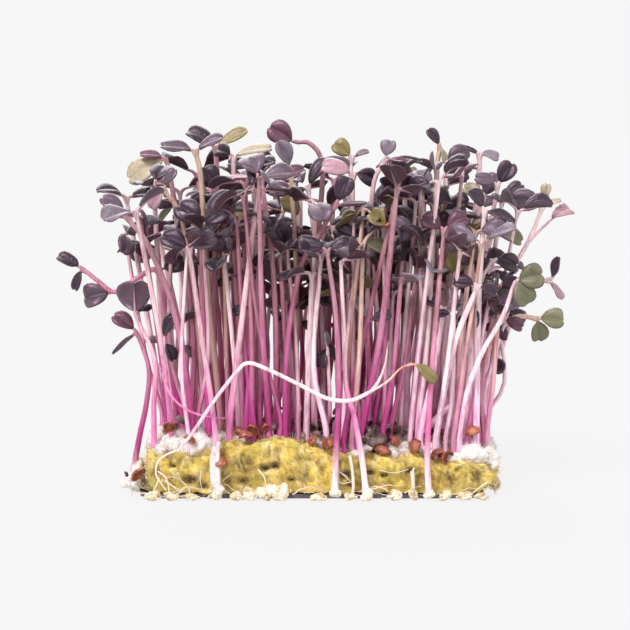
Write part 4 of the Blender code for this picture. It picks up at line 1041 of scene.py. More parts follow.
def place_filling(placed, used, tufts):
    """Fills the slots that are left with seedlings drawn until each one is clear of the rest."""
    draw = random.Random(SEED)
    for index, (row, tuft_x, tuft_y) in enumerate(tufts):
        for slot, (dx, dy) in enumerate(SLOTS):
            if (index, slot) in used:
                continue
            x, y = tuft_x + dx, tuft_y + dy
            foot = np.array([x, y, mat_top(tuft_x, tuft_y) + FOOT_RISE])
            for attempt in range(FILL_TRIES):
                height = draw.uniform(*FILL_CROWNS)
                spread = (height - 20) / 50
                crown = np.array([x * (1 + 0.16 * spread) + draw.gauss(0, 3.6 * spread),
                                  y * (1 + 0.25 * spread) + draw.gauss(0, 3.6 * spread), height])
                middle = (foot * 0.55 + crown * 0.45) + np.array([draw.gauss(0, 0.9), draw.gauss(0, 0.9), 0])
                blades = random_leaves(draw, draw.choice(FILL_TONES))
                plan = plan_seedling(upright_path(foot, middle, crown), blades, viewed=False)
                if clearance(plan, index, placed) >= GAP:
                    used.add((index, slot))
                    placed.append((index, plan))
                    break


def plan_edge_seedlings():
    """The left, fallen and front seedlings, whose places are given."""
    plans = {}
    left_y = LEFT_MASS[0][1]
    plans["left_seedling"] = plan_seedling(
        np.array([sighted(x, z, left_y) for x, z in LEFT_PATH]), LEFT_LEAVES)
    arm = np.array([sighted(x, z, FALLEN_Y) for x, z in FALLEN_PATH + FALLEN_ARM[1:]])
    arm[0][1] += 3.4
    arm[1][1] += 0.9
    plans["fallen_seedling"] = plan_seedling(arm, (FALLEN_LEAF,))
    for number, (lean, *knots, leaves) in enumerate(FRONT_SEEDLINGS, start=1):
        path = []
        for x, z in knots:
            behind = max(0.0, z - FRONT_FACE_TOP) / (60 - FRONT_FACE_TOP)
            path.append(sighted(x, z, FRONT_ROOT_Y + lean * behind))
        plans[f"front_seedling_{number}"] = plan_seedling(np.array(path), leaves)
    return plans


def grow():
    """All the seedlings in order, with the tuft or the node that each one belongs to."""
    tufts = tuft_places()
    placed, used = [], set()
    for name, plan in plan_edge_seedlings().items():
        placed.append((name, plan))
    place_featured(placed, used, tufts)
    place_filling(placed, used, tufts)
    return tufts, placed


TUFTS, STAND = grow()
# Half of a drawn blade's outline, from its base to the top of a lobe, as (along, across)
LEAF_EDGE = ((0.0, 0.13), (0.09, 0.42), (0.25, 0.76), (0.47, 0.97), (0.69, 1.0), (0.87, 0.84),
             (0.98, 0.50), (1.0, 0.24))
# How far the notch at the tip may run into a blade, as a share of its length
NOTCHES = (0.0, 0.1)
# A blade's rows along it and lanes on each side of its midrib, its thickness, and a stem's steps a bend
LEAF_ROWS = 10
LEAF_LANES = 5
BLADE_THICK = 0.5
STEM_STEPS = 6
# How far below its base a leaf's stalk parts from the stem
CROWN_FORK = 2.0
UNDERSIDES = np.array((0.085, 0.036, 0.054))
STALK_TINT = np.array((0.42, 0.20, 0.25))
ROOT_WHITE = np.array((0.90, 0.76, 0.74))
# The tint of a blade's margin and how strongly it shows
MARGIN_TINT = np.array((0.36, 0.17, 0.22))
MARGIN_SHARE = 0.18


def blade_layer(leaf, base, axes, s, v, lift_off):
    """Points of a blade in space, for arrays of places along and across it, a little above or below."""
    along, side, out = (np.array(axis) for axis in axes)
    turn = math.radians(leaf.curl) * s
    turn = np.where(np.abs(turn) < 1e-3, 1e-3, turn)
    reach = leaf.length * s * np.sin(turn) / turn
    drop = leaf.length * s * (1 - np.cos(turn)) / turn
    lift = out * np.cos(turn)[:, None] + along * np.sin(turn)[:, None]
    fold, half = math.radians(leaf.fold), v * leaf.width / 2
    lobe = side * (half * math.cos(fold))[:, None] + lift * (np.abs(half) * math.sin(fold))[:, None]
    start = np.array(base) + along * leaf.stalk
    return start + along * reach[:, None] - out * drop[:, None] + lobe + lift * lift_off[:, None]


def blade_shape(draw, rows, lanes):
    """Places along and across one blade, with how far it swells and how thick it is there."""
    end = 1 - draw.uniform(*NOTCHES)
    edge = curve_through(LEAF_EDGE + ((end + 0.01, 0.02),), rows + 1)
    wave, phase = draw.uniform(0.02, 0.06), draw.uniform(0, 6.28)
    uneven = (draw.uniform(0.92, 1.06), draw.uniform(0.92, 1.06))
    s, v, swell, thick, flat = [], [], [], [], []
    for j in range(rows + 1):
        middle = end * (j / rows) ** 1.05
        for q in range(-lanes, lanes + 1):
            u = abs(q) / lanes
            grown = uneven[0 if q < 0 else 1]
            s.append(middle + (edge[j][0] * (0.94 + 0.06 * grown) - middle) * u)
            v.append(math.copysign(edge[j][1] * u * grown, q))
            puff = math.sin(math.pi * min(1, j / rows)) * math.sin(math.pi * u ** 0.7)
            ruffle = wave * u * u * math.sin(11 * j / rows + phase + 0.8 * math.copysign(1, q))
            swell.append(0.075 * puff + ruffle)
            thick.append(math.sqrt(max(0.0, 1 - u ** 3)))
            flat.append((0.5 + 0.5 * q / lanes, j / rows))
    return [np.array(values) for values in (s, v, swell, thick, flat)]


def blade_faces(rows, half_lanes):
    """The faces of one blade: an upper and a lower sheet that share the margin's points."""
    lanes = 2 * half_lanes + 1
    low_of = {}
    spare = (rows + 1) * lanes
    for j in range(rows + 1):
        for q in range(lanes):
            if 0 < q < lanes - 1:
                low_of[j, q] = spare
                spare += 1
            else:
                low_of[j, q] = j * lanes + q
    faces = []
    for j in range(rows):
        for q in range(lanes - 1):
            a, b, c, d = j * lanes + q, j * lanes + q + 1, (j + 1) * lanes + q + 1, (j + 1) * lanes + q
            faces.append((d, c, b, a))
            faces.append((low_of[j, q + 1], low_of[j + 1, q + 1], low_of[j + 1, q], low_of[j, q]))
    for j, step in ((0, -1), (rows, 1)):
        for q in range(lanes - 1):
            ring = [j * lanes + q, low_of[j, q], low_of[j, q + 1], j * lanes + q + 1][::step]
            face = []
            for corner in ring:
                if corner not in face:
                    face.append(corner)
            if len(face) > 2:
                faces.append(tuple(face))
    in_order = sorted(low_of.items(), key=lambda item: item[1])
    return faces, [j * lanes + q for (j, q), spot in in_order if 0 < q < lanes - 1]


class LeafPile:
    """Gathers blades into one mesh, each cut into rows along it and lanes on either side of its midrib."""

    def __init__(self, rows=LEAF_ROWS, lanes=LEAF_LANES):
        self.points, self.tints, self.flats, self.faces, self.count = [], [], [], [], 0
        self.cells = (rows, lanes)
        self.blade, self.under = blade_faces(rows, lanes)

    def add(self, draw, leaf, base, axes):
        """Adds one blade with its tints: paler at the margin, blushed below."""
        s, v, swell, thick, flat = blade_shape(draw, *self.cells)
        swell = swell * leaf.width
        half = BLADE_THICK / 2 * thick
        upper = blade_layer(leaf, base, axes, s, v, swell + half)
        lower = blade_layer(leaf, base, axes, s, v, swell - half)[self.under]
        self.points += [upper, lower]
        self.faces += [tuple(k + self.count for k in face) for face in self.blade]
        self.flats += [flat, flat[self.under]]
        self.count += len(upper) + len(lower)
        tone = np.array(LEAF_COLOURS[leaf.tone]) * draw.uniform(0.75, 1.3)
        blush = draw.uniform(0.35, 0.75) if leaf.tone in ("dark", "mauve", "plum") else draw.uniform(0, 0.3)
        rim = np.clip((np.abs(flat[:, 0] - 0.5) * 2 - 0.75) * 4, 0, 1)[:, None]
        over = tone * (1 - MARGIN_SHARE * rim) + MARGIN_TINT * MARGIN_SHARE * rim
        self.tints += [over, np.tile(mixed(tone, UNDERSIDES, blush), (len(lower), 1))]

    def piece(self, name, material):
        """The blades as one object, with a flat map of each for its veins."""
        obj = mesh_object(name, (np.vstack(self.points) * MM).tolist(), self.faces)
        mesh = obj.data
        add_tints(mesh, np.vstack(self.tints))
        flats = np.vstack(self.flats)
        corners = np.zeros(len(mesh.loops), dtype=np.int32)
        mesh.loops.foreach_get("vertex_index", corners)
        layer = mesh.uv_layers.new(name="blade")
        layer.data.foreach_set("uv", flats[corners].astype(np.float32).ravel())
        mesh.materials.append(material)
        smooth(mesh)
        return obj


# The kinds of stem: the share up to which a kind comes, then its colour at the foot, half way and crown. The
# crown colours are duller, and darker on the paler kinds: partly the stem's own dusty tone, partly painted
# shade under the leaves.
STEM_KINDS = (
    (0.26, (0.49, 0.050, 0.245), (0.54, 0.19, 0.32), (0.42, 0.22, 0.25)),
    (0.62, (0.67, 0.205, 0.42), (0.76, 0.48, 0.54), (0.60, 0.41, 0.42)),
    (0.77, (0.45, 0.038, 0.235), (0.48, 0.13, 0.26), (0.42, 0.19, 0.23)),
    (0.86, (0.66, 0.300, 0.42), (0.66, 0.44, 0.37), (0.56, 0.38, 0.29)),
    (1.00, (0.82, 0.500, 0.64), (0.84, 0.65, 0.69), (0.70, 0.52, 0.52)),
)
# The heights that those three colours stand for
STEM_BANDS = (14, 30, 52)
# Right of this place most stems are pale, and all are lighter by this much: painted light for the open right
# side of the stand, where less shade falls
PALE_FROM = 20
PAINTED_LIGHT_RIGHT = 1.08


def stem_colours(draw, heights, place_x, kind=None):
    """Magenta low on a stem, dusty pink or straw above, duller at the crown, partly as painted shade under
    the leaves; some stems are pale, most of them at the right.
    """
    chance = draw.random()
    right = place_x > PALE_FROM
    if right and chance < 0.76:
        chance = 0.45 if chance < 0.34 else 0.95
    kind = chance if kind is None else kind
    shades = next(colours for limit, *colours in STEM_KINDS if kind <= limit)
    stops = np.array(shades) * draw.uniform(0.92, 1.16)
    stops = stops * (PAINTED_LIGHT_RIGHT if right else 1.0)
    shift = draw.uniform(-6, 10)
    bands = [band + shift for band in STEM_BANDS]
    return np.clip(np.column_stack([np.interp(heights, bands, stops[:, k]) for k in range(3)]), 0, 0.95)


def stem_path(draw, plan, thick, white_below=None, kind=None, steps=STEM_STEPS):
    """The stem's tube: its points, girths and colours."""
    points = curve_through(plan["path"], steps * (len(plan["path"]) - 1) + 1)
    rise = (points[-1] - points[-2]) / np.linalg.norm(points[-1] - points[-2])
    points = np.vstack([points, points[-1] + rise * CROWN_HEIGHT * 0.4])
    share = np.linspace(0, 1, len(points))
    girths = thick * (1 - 0.34 * share ** 1.3) * (1 + 0.25 * np.exp(-(share / 0.05) ** 2))
    girths[-2:] *= (0.8, 0.35)
    colours = stem_colours(draw, points[:, 2], points[0][0], kind)
    if white_below is not None:
        white = np.clip((white_below + 6 - points[:, 2]) / 10, 0, 1)[:, None]
        colours = mixed(colours, ROOT_WHITE, white)
    return points, girths, colours


def stalk_path(leaf, base, axes, stem, thick):
    """A leaf's stalk, parting from inside the stem and running on as the midrib under the blade."""
    points, girths, colours = stem
    along = np.array(axes[0])
    s = np.array((0.05, 0.3, 0.6, 0.82))
    rib = blade_layer(leaf, base, axes, s, np.zeros(4), np.full(4, -BLADE_THICK * 0.42))
    foot = np.array(base)
    nearest = int(np.argmin(np.linalg.norm(points - (foot - along * STALK_ROOT), axis=1)))
    before = points[max(0, nearest - 2)] - points[nearest]
    start = points[nearest] + before / np.linalg.norm(before) * CROWN_FORK
    parting = points[nearest] + before / np.linalg.norm(before) * 0.5 + along * 0.3
    knots = [start, parting, foot + along * leaf.stalk * 0.4, *rib]
    line = curve_through(knots, 2 * (len(knots) - 1) + 1)
    share = np.linspace(0, 1, len(line))
    widths = thick * np.interp(share, (0, 0.17, 0.33, 0.5, 0.75, 1), (0.55, 0.68, 0.52, 0.4, 0.24, 0.1))
    rib_colour = np.array(LEAF_COLOURS[leaf.tone]) * 0.55 + STALK_TINT * 0.45
    return line, widths, mixed(colours[nearest], rib_colour, share[:, None])


def dress(draw, plan, leaves, stems, thick, white_below=None, kind=None, steps=STEM_STEPS):
    """Adds one seedling's blades to the leaves and its tubes to the stems."""
    stem = stem_path(draw, plan, thick, white_below, kind, steps)
    stems.append(stem)
    for leaf, base, axes in plan["blades"]:
        leaves.add(draw, leaf, base, axes)
        stems.append(stalk_path(leaf, base, axes, stem, thick))


# The tint of a leaf's shine and of its veins, and how many veins part from each side of the midrib
LEAF_GLINT = (1.0, 0.76, 0.92, 1)
VEIN_TINT = (0.50, 0.30, 0.36, 1)
VEIN_PAIRS = 5.0


def leaf_material():
    """Blade skin: the piece's tint, mottled, with paler veins that fan from the midrib."""
    material = grown_material("seed_leaf", 0.36, (380, 3200, 1.0, 0.3), (
        (0.70, 0.67, 0.71), (1.0, 1.0, 1.0), (1.30, 1.22, 1.27)), sheen=0.07, specular=0.6, tint="tint")
    tree = material.node_tree
    shader = tree.nodes["Principled BSDF"]
    shader.inputs["Specular Tint"].default_value = LEAF_GLINT
    skin = shader.inputs["Base Color"].links[0].from_socket
    flat = put(tree, "ShaderNodeUVMap", uv_map="blade").outputs[0]
    parts = put(tree, "ShaderNodeSeparateXYZ", {"Vector": flat}).outputs
    away = reckon(tree, "ABSOLUTE", reckon(tree, "SUBTRACT", parts["X"], 0.5))
    midrib = ranged(tree, away, 0.012, 0.045, 1.0, 0.0)
    fan = reckon(tree, "PINGPONG", reckon(tree, "MULTIPLY", parts["Y"], VEIN_PAIRS), 0.5)
    vein = ranged(tree, fan, 0.0, 0.075, 0.5, 0.0)
    fade = ranged(tree, away, 0.1, 0.46, 1.0, 0.0)
    lines = reckon(tree, "MAXIMUM", midrib, reckon(tree, "MULTIPLY", vein, fade))
    paler = put(tree, "ShaderNodeMix", {"Factor": 0.12, "A": skin, "B": VEIN_TINT}, data_type="RGBA")
    drawn = put(tree, "ShaderNodeMix", {
        "Factor": lines, "A": skin, "B": live_socket(paler.outputs, "Result")}, data_type="RGBA")
    tree.links.new(live_socket(drawn.outputs, "Result"), shader.inputs["Base Color"])
    groove = put(tree, "ShaderNodeBump", {
        "Strength": 0.5, "Distance": 0.00015, "Height": lines,
        "Normal": shader.inputs["Normal"].links[0].from_socket}, invert=True)
    tree.links.new(groove.outputs[0], shader.inputs["Normal"])
    return material


blade_material = leaf_material()
# The stem skin's pale lengthwise streaks are partly real streaks and partly painted highlight down one side
# of a stem.
stem_material = grown_material("stem_skin", 0.34, (640, 2600, 0.1, 0.2), (
    (0.66, 0.46, 0.58), (0.96, 0.92, 0.95), (1.14, 1.24, 1.2)), under=0.22, tint="tint")
for row in range(len(TUFT_ROWS)):
    draw = random.Random(100 + row)
    leaves, stems, nodes = LeafPile(), [], []
    for index, (tuft_row, x, y) in enumerate(TUFTS):
        if tuft_row == row:
            nodes.append(f"bunch_{index + 1:02d}")
            for owner, plan in STAND:
                if owner == index:
                    dress(draw, plan, leaves, stems, draw.uniform(0.68, 0.86))
    finish_piece(draw_tubes(f"row_{row + 1}_stems", stems, stem_material, 10), "stem", *nodes)
    finish_piece(leaves.piece(f"row_{row + 1}_leaves", blade_material), "leaf", *nodes)

# Edge seedlings
# Sprouts whose white root runs down the pad's front face, the one at the left end on its root mass,
# and a white forked one that fell across the front. The same kind of sprout, grown beside the pad.

# Up to what height an edge seedling is root white, and its kind of stem
EDGE_LOOKS = {"front_seedling_1": (12.0, 0.5), "front_seedling_2": (8.5, 0.1),
              "front_seedling_3": (11.0, 0.5), "front_seedling_4": (9.0, 0.1), "left_seedling": (5.0, 0.1)}
FALLEN_WHITE = np.array((0.90, 0.78, 0.78))
FALLEN_FLUSH = np.array((0.88, 0.52, 0.68))
FALLEN_PEACH = np.array((0.72, 0.40, 0.27))
FORK_TIP = np.array((0.72, 0.42, 0.44))
# The fallen stem's fork, and how far behind the stem each of its bends lies
FALLEN_FORK = ((13.5, 24.9), (15.2, 27.4), (16.5, 31), (17.2, 36.2))
FORK_BACK = (0, 0.3, 1.6, 6.0)
ARC_TINT = (0.72, 0.22, 0.44)
# A thin root-like stem that hangs between the stems at the left: its bends in the front view, and depths
ARC_PATH = ((-34.5, 31, -14), (-33, 26.5, -22), (-31, 22.8, -24.5), (-27, 20, -24.5), (-22.5, 18.9, -24),
            (-18.5, 18.6, -19), (-16.5, 18.8, -12))
draw = random.Random(140)
leaves, stems = LeafPile(), []
edge_names = [owner for owner, plan in STAND if isinstance(owner, str)]
for owner, plan in STAND:
    if isinstance(owner, str) and owner != "fallen_seedling":
        dress(draw, plan, leaves, stems, 0.74, *EDGE_LOOKS[owner])
fallen = [plan for owner, plan in STAND if owner == "fallen_seedling"][0]
points = curve_through(fallen["path"], 6 * (len(fallen["path"]) - 1) + 1)
fallen_share = np.linspace(0, 1, len(points))
girths = np.interp(fallen_share, (0, 0.1, 0.3, 0.72, 0.8, 1), (0.26, 0.42, 0.46, 0.48, 0.30, 0.2))
peach = np.clip((fallen_share - 0.72) / 0.2, 0, 1)[:, None]
flush = np.exp(-((fallen_share - 0.16) / 0.12) ** 2)[:, None] * 0.6
skin = mixed(FALLEN_WHITE, FALLEN_FLUSH, flush)
stems.append((points, girths, mixed(skin, FALLEN_PEACH, peach)))
fork = curve_through([sighted(x, z, FALLEN_Y + back) for (x, z), back in zip(FALLEN_FORK, FORK_BACK)], 16)
fork_share = np.linspace(0, 1, len(fork))[:, None]
stems.append((fork, np.linspace(0.44, 0.16, len(fork)), mixed(FALLEN_WHITE, FORK_TIP, fork_share)))
for leaf, base, axes in fallen["blades"]:
    leaves.add(draw, leaf, base, axes)
    stems.append(stalk_path(leaf, base, axes, stems[-2], 0.42))
arc = curve_through([sighted(x, z, y) for x, z, y in ARC_PATH], 22)
stems.append((arc, np.linspace(0.34, 0.2, len(arc)), np.tile(ARC_TINT, (len(arc), 1))))
finish_piece(draw_tubes("edge_stems", stems, stem_material, 10), "stem", *edge_names)
finish_piece(leaves.piece("edge_leaves", blade_material), "leaf", *edge_names)

# In-between seedlings
# The same sprouts, sown so thickly that the stand closes: these root in the felt between the bunches
# and fill the gaps between their stems and under their leaves.
INFILL_SEED = 97
INFILL_TRIES = 10
# The least space left round an in-between seedling, below zero where its room may overlap the others'
INFILL_SLACK = -1.62
INFILL_TONES = ("dark",) * 14 + ("mauve",) * 4 + ("plum",) * 3 + ("silver", "olive")
# How many; the lowest, highest and commonest crown; the bed's ends; its front and back; the leaves' sizes
INFILL_GROUPS = (
    (200, (50.0, 76.0, 66.0), (-35.5, 38.5), (-22.5, 21.5), (5.4, 7.4)),
    (40, (30.0, 56.0, 46.0), (-35.5, 38.5), (-12.0, 20.0), (4.2, 6.4)),
    (34, (42.0, 61.0, 54.0), (-8.0, 17.0), (-8.0, 20.0), (5.0, 7.0)),
    (34, (56.0, 75.0, 68.0), (14.0, 37.0), (-19.0, 19.0), (6.0, 7.8)),
    (26, (50.0, 66.0, 58.0), (38.4, 41.6), (-20.0, 14.0), (4.6, 6.4)),
)
# Left of the first place and right of the second the stand is open, and this share is left out
INFILL_OPEN = ((-6.0, 0.45), (26.0, 0.3))
# Gaps in the canopy where the front view shows the white behind: middle and half sizes
WINDOWS = (
    (1.5, 71.0, 2.2, 1.6), (11.0, 69.6, 1.9, 2.3), (11.2, 74.8, 2.0, 0.9), (-0.6, 67.4, 1.2, 2.0),
    (1.8, 63.6, 1.1, 1.5), (16.4, 72.1, 1.4, 1.1), (8.1, 60.7, 1.2, 1.3), (-6.1, 70.2, 1.2, 0.8),
    (-12.4, 69.3, 1.5, 0.7), (33.1, 70.5, 1.1, 1.3), (-29.6, 73.1, 1.6, 2.2), (-26.4, 69.6, 1.2, 1.2),
    (-37.0, 66.0, 1.6, 1.4), (-36.2, 50.5, 2.6, 5.5), (-29.8, 47.6, 1.2, 2.4), (-22.0, 34.0, 0.9, 5.0),
    (24.5, 66.0, 1.2, 1.0), (41.5, 58.0, 1.6, 1.6), (-8.5, 30.0, 0.7, 5.0), (29.5, 57.0, 1.0, 1.4),
)
# How finely the in-between stems and blades are cut
INFILL_STEPS = 4
INFILL_ROWS = 8
INFILL_LANES = 3
# Crowns keep lower by this much for each millimetre past the shoulder, left and right
INFILL_SHOULDER = 24.0
INFILL_FALL = 0.9


def infill_blades(draw, tone, smallest, largest):
    """A pair of leaves, most of them more curled and folded than the bunches' own."""
    heading = draw.uniform(0, 360)
    return [Leaf(heading + turn + draw.uniform(-35, 35), length=draw.uniform(smallest, largest),
                 width=draw.uniform(smallest, largest), roll=draw.uniform(-55, 55),
                 stalk=draw.uniform(0.8, 2.5), curl=draw.uniform(-5, 85), fold=draw.uniform(8, 58),
                 swing=draw.uniform(-35, 50), tone=tone)
            for turn in (0, 180)]


def shows_through(plan):
    """Whether the front view keeps its gaps in the canopy with this seedling there."""
    behind = plan["spots"][:, 1] - VIEW_FRONT
    spread = 1 + behind / VIEW_DISTANCE
    x = plan["spots"][:, 0] / spread
    z = VIEW_HEIGHT + (plan["spots"][:, 2] + behind * VIEW_FALL - VIEW_HEIGHT) / spread
    for middle_x, middle_z, half_x, half_z in WINDOWS:
        if (((x - middle_x) / half_x) ** 2 + ((z - middle_z) / half_z) ** 2).min() <= 1:
            return False
    return True


def thicken(placed):
    """Draws more seedlings, each one kept where it has nearly room among the rest."""
    draw = random.Random(INFILL_SEED)
    spots = np.vstack([plan["spots"] for owner, plan in placed])
    reaches = np.concatenate([plan["reaches"] for owner, plan in placed])
    added = []
    for count, crowns, ends, bed, sizes in INFILL_GROUPS:
        for number in range(count):
            for attempt in range(INFILL_TRIES):
                x, y = draw.uniform(*ends), draw.uniform(*bed)
                (left, thin), (right, thinner) = INFILL_OPEN
                if draw.random() < (thin if x < left else thinner if x > right else 0):
                    break
                foot = np.array([x, y, mat_top(x, y) + FOOT_RISE])
                height = draw.triangular(*crowns) - INFILL_FALL * max(0.0, abs(x) - INFILL_SHOULDER)
                spread = (height - 20) / 50
                crown = np.array([x * (1 + 0.12 * spread) + draw.gauss(0, 3.4 * spread),
                                  y * (1 + 0.12 * spread) + draw.gauss(0, 3.0 * spread), height])
                middle = foot * 0.55 + crown * 0.45 + np.array([draw.gauss(0, 1.2), draw.gauss(0, 1.2), 0])
                blades = infill_blades(draw, draw.choice(INFILL_TONES), *sizes)
                plan = plan_seedling(upright_path(foot, middle, crown), blades, viewed=False)
                crowd = {"spots": spots, "reaches": reaches}
                if shows_through(plan) and clearance(plan, None, [("crowd", crowd)]) >= INFILL_SLACK:
                    added.append(plan)
                    spots = np.vstack([spots, plan["spots"]])
                    reaches = np.concatenate([reaches, plan["reaches"]])
                    break
    return added


draw = random.Random(150)
INFILL = thicken(STAND)
# Short sprouts whose leaves show low between the stems: crown in the front view, depth, leaves
LOW_SPROUTS = (
    ((3.6, 33.6), -20.0, (Leaf(96, 3.4, 3.2, 25, tone="silver"), Leaf(250, 3.0, 2.6, 50))),
    ((10.4, 24.0), -21.5, (Leaf(88, 3.6, 3.6, 20), Leaf(-30, 2.6, 2.2, 60))),
    ((12.6, 40.2), -19.0, (Leaf(120, 6.0, 4.2, 40, tone="silver"), Leaf(20, 4.6, 3.4, 60, tone="mauve"))),
    ((5.6, 30.4), -17.0, (Leaf(110, 4.0, 3.0, 40), Leaf(-70, 3.6, 3.0, 40))),
    ((-13.4, 43.8), -18.0, (Leaf(80, 4.0, 3.2, 40), Leaf(200, 4.0, 3.0, 60))),
    ((-33.4, 36.0), -14.0, (Leaf(70, 5.4, 4.6, 40), Leaf(-60, 4.4, 3.6, 50))),
    ((32.0, 42.0), -21.0, (Leaf(95, 4.8, 4.6, 30, tone="silver"), Leaf(180, 3.0, 2.4, 50))),
    ((37.2, 44.2), -20.0, (Leaf(-85, 4.6, 3.8, 30), Leaf(40, 3.6, 3.0, 60))),
)
for (x, z), y, blades in LOW_SPROUTS:
    crown = sighted(x, z, y)
    foot = np.array([0.95 * crown[0], y + 1.5, mat_top(0.95 * crown[0], y + 1.5) + FOOT_RISE])
    bend = foot * 0.6 + crown * 0.4 + np.array([0.6, 0, 0])
    INFILL.append(plan_seedling(upright_path(foot, bend, crown), blades))
leaves, stems = LeafPile(INFILL_ROWS, INFILL_LANES), []
for plan in INFILL:
    dress(draw, plan, leaves, stems, draw.uniform(0.58, 0.8), steps=INFILL_STEPS)
finish_piece(draw_tubes("infill_stems", stems, stem_material, 5), "stem")
finish_piece(leaves.piece("infill_leaves", blade_material), "leaf")

# Root felt
# The white down of root hairs that covers the pad between the stems, thick at both ends, with a root
# tuft at each bunch's foot. Fine living hairs, grown in place over small cushions of root.

# The mounds that show at the front: place, size and rise
FELT_MOUNDS = (
    (-31.5, -18, 3.6, 3.8), (-26.5, -19, 4.4, 3.6), (-35.0, -14, 3.0, 3.4), (-22.6, -17, 2.6, 2.4),
    (34.5, -16, 3.8, 3.8), (38.6, -13, 3.2, 3.6), (30.4, -18.5, 2.4, 2.0), (36.6, -20.2, 3.6, 2.8),
    (40.6, -18.4, 2.6, 3.0), (40.8, -8, 2.4, 3.0), (32.6, -20.6, 2.4, 1.8), (12.4, -19.5, 2.0, 1.4),
    (-17.0, -10, 3.0, 2.0), (-2.0, -14, 2.6, 1.8), (21.0, -19, 2.4, 1.8), (25.6, -15, 2.6, 2.2),
)
DRAWN_MOUNDS = 46
# A bunch's root tuft: its radius, its half height and how far it sinks into the pad
TUFT_RADIUS = 3.3
TUFT_HALF_HEIGHT = 2.4
TUFT_SUNK = 0.4


def felt_mounds():
    """Mounds of felt over the whole bed, as (x, y, size, rise): the placed ones, then the drawn ones."""
    draw = random.Random(160)
    mounds = list(FELT_MOUNDS)
    for number in range(DRAWN_MOUNDS):
        mounds.append((draw.uniform(-35, 38), draw.uniform(-12, 22), draw.uniform(2.0, 4.0),
                       draw.uniform(0.9, 2.4)))
    return mounds


def all_fuzzy(obj):
    """Lets hairs stand all over a piece."""
    add_field(obj.data, "fuzz", [1.0] * len(obj.data.vertices))


hair_material = grown_material("root_hair", 0.6, (500, 5000, 1.0, 0.1), (
    (0.68, 0.61, 0.59), (0.82, 0.78, 0.76), (0.88, 0.86, 0.84)), sheen=0.2, specular=0.3, under=0.1)
felt_material = grown_material("root_felt", 0.75, (420, 2600, 1.0, 0.6), (
    (0.50, 0.39, 0.34), (0.76, 0.69, 0.66), (0.85, 0.81, 0.79)), sheen=0.1, specular=0.2, under=0.2)
bm = bmesh.new()
for number, (x, y, size, rise) in enumerate(felt_mounds()):
    finer = 4 if number < len(FELT_MOUNDS) else 3
    add_lump(bm, (x, y, mat_top(x, y) + 0.1 * rise), (size, size * 0.85, rise * 0.9), 0.75, 1.5, finer)
draw = random.Random(162)
for tuft_row, x, y in TUFTS:
    middle = (x, y, mat_top(x, y) - TUFT_SUNK)
    across = [TUFT_RADIUS * draw.uniform(0.68, 0.97) for way in "xy"]
    add_lump(bm, middle, (*across, TUFT_HALF_HEIGHT * draw.uniform(0.55, 1.0)), 0.6, 1.8)
felt = mesh_piece("root_felt", bm, felt_material)
add_field(felt.data, "fuzz", [max(0.0, vert.normal.z + 0.35) for vert in felt.data.vertices])
hairs = strand_kit("hair_kit", seed=8, material=hair_material, length=1.9, girth=0.038, curl=0.8, count=4)
felt_hairs = strew("root_felt_hairs", felt, hairs, hair_material, density=120, seed=12,
                   smallest=0.6, largest=1.4, lean=0.9)
finish_piece(felt, "root", *[f"bunch_{n + 1:02d}" for n in range(len(TUFTS))])
finish_piece(felt_hairs, "root")

# Left root mass
# The heap of hairy roots beside the pad's left end, where one sprout rooted outside the pad. Living
# root, grown in place, wide at its foot and drawn together towards the stem.
MASS_LUMPS = 24
bm = bmesh.new()
centre = LEFT_MASS[0]
draw = random.Random(165)
for number in range(MASS_LUMPS):
    up = (number / (MASS_LUMPS - 1)) ** 0.8
    spot = (centre[0] + draw.uniform(-2.1, 2.1) * (1 - up) + 1.3 * up,
            centre[1] + draw.uniform(-6.4, 5.6) * (1 - 0.75 * up), 0.9 + 5.7 * up)
    radii = [draw.uniform(1.2, 1.8) * (1 - 0.4 * up), draw.uniform(1.6, 2.4) * (1 - 0.3 * up),
             draw.uniform(1.0, 1.5)]
    add_lump(bm, spot, radii, 0.32, 1.5)
root_mass = mesh_piece("left_root_mass", bm, felt_material)
all_fuzzy(root_mass)
mass_hairs = strew("left_root_hairs", root_mass, hairs, hair_material, density=110, seed=13,
                   smallest=0.35, largest=0.9, lean=0.9)
finish_piece(root_mass, "root", "left_seedling")
finish_piece(mass_hairs, "root", "left_seedling")

# Foot clumps
# Roots that pooled where they came out from under the pad: a clump at the foot of each front
# seedling, and one broad heap left of the middle. Moist living root, pressed together as it grew.

# Where the clumps run together into the heap: places along the foot and half heights
FOOT_HEAP = ((-14.2, 1.2), (-11.4, 1.6), (-9.0, 2.1), (-6.6, 2.2))
clump_material = grown_material("root_clump", 0.6, (700, 4000, 1.0, 0.4), (
    (0.42, 0.30, 0.17), (0.78, 0.66, 0.48), (0.88, 0.80, 0.67), (0.92, 0.87, 0.79)), under=0.15)
bm = bmesh.new()
for seedling in FRONT_SEEDLINGS:
    add_clump(bm, draw, (seedling[1][0], FRONT_ROOT_Y, 1.5), (1.5, 1.15, 1.6))
foot_clumps = mesh_piece("front_foot_clumps", bm, clump_material)
finish_piece(foot_clumps, "root", *edge_names)
bm = bmesh.new()
for x, half_height in FOOT_HEAP:
    add_clump(bm, draw, (x, KNOB_Y - 0.3, half_height), (1.5, KNOB_DEPTH, half_height), 5)
finish_piece(mesh_piece("foot_heap", bm, clump_material), "root", "root_layer")

# Front roots
# Roots that found their way out over the pad's face and down to the tray. The same living roots, cream
# white and thinner towards the tip, with a claw of four at the left.

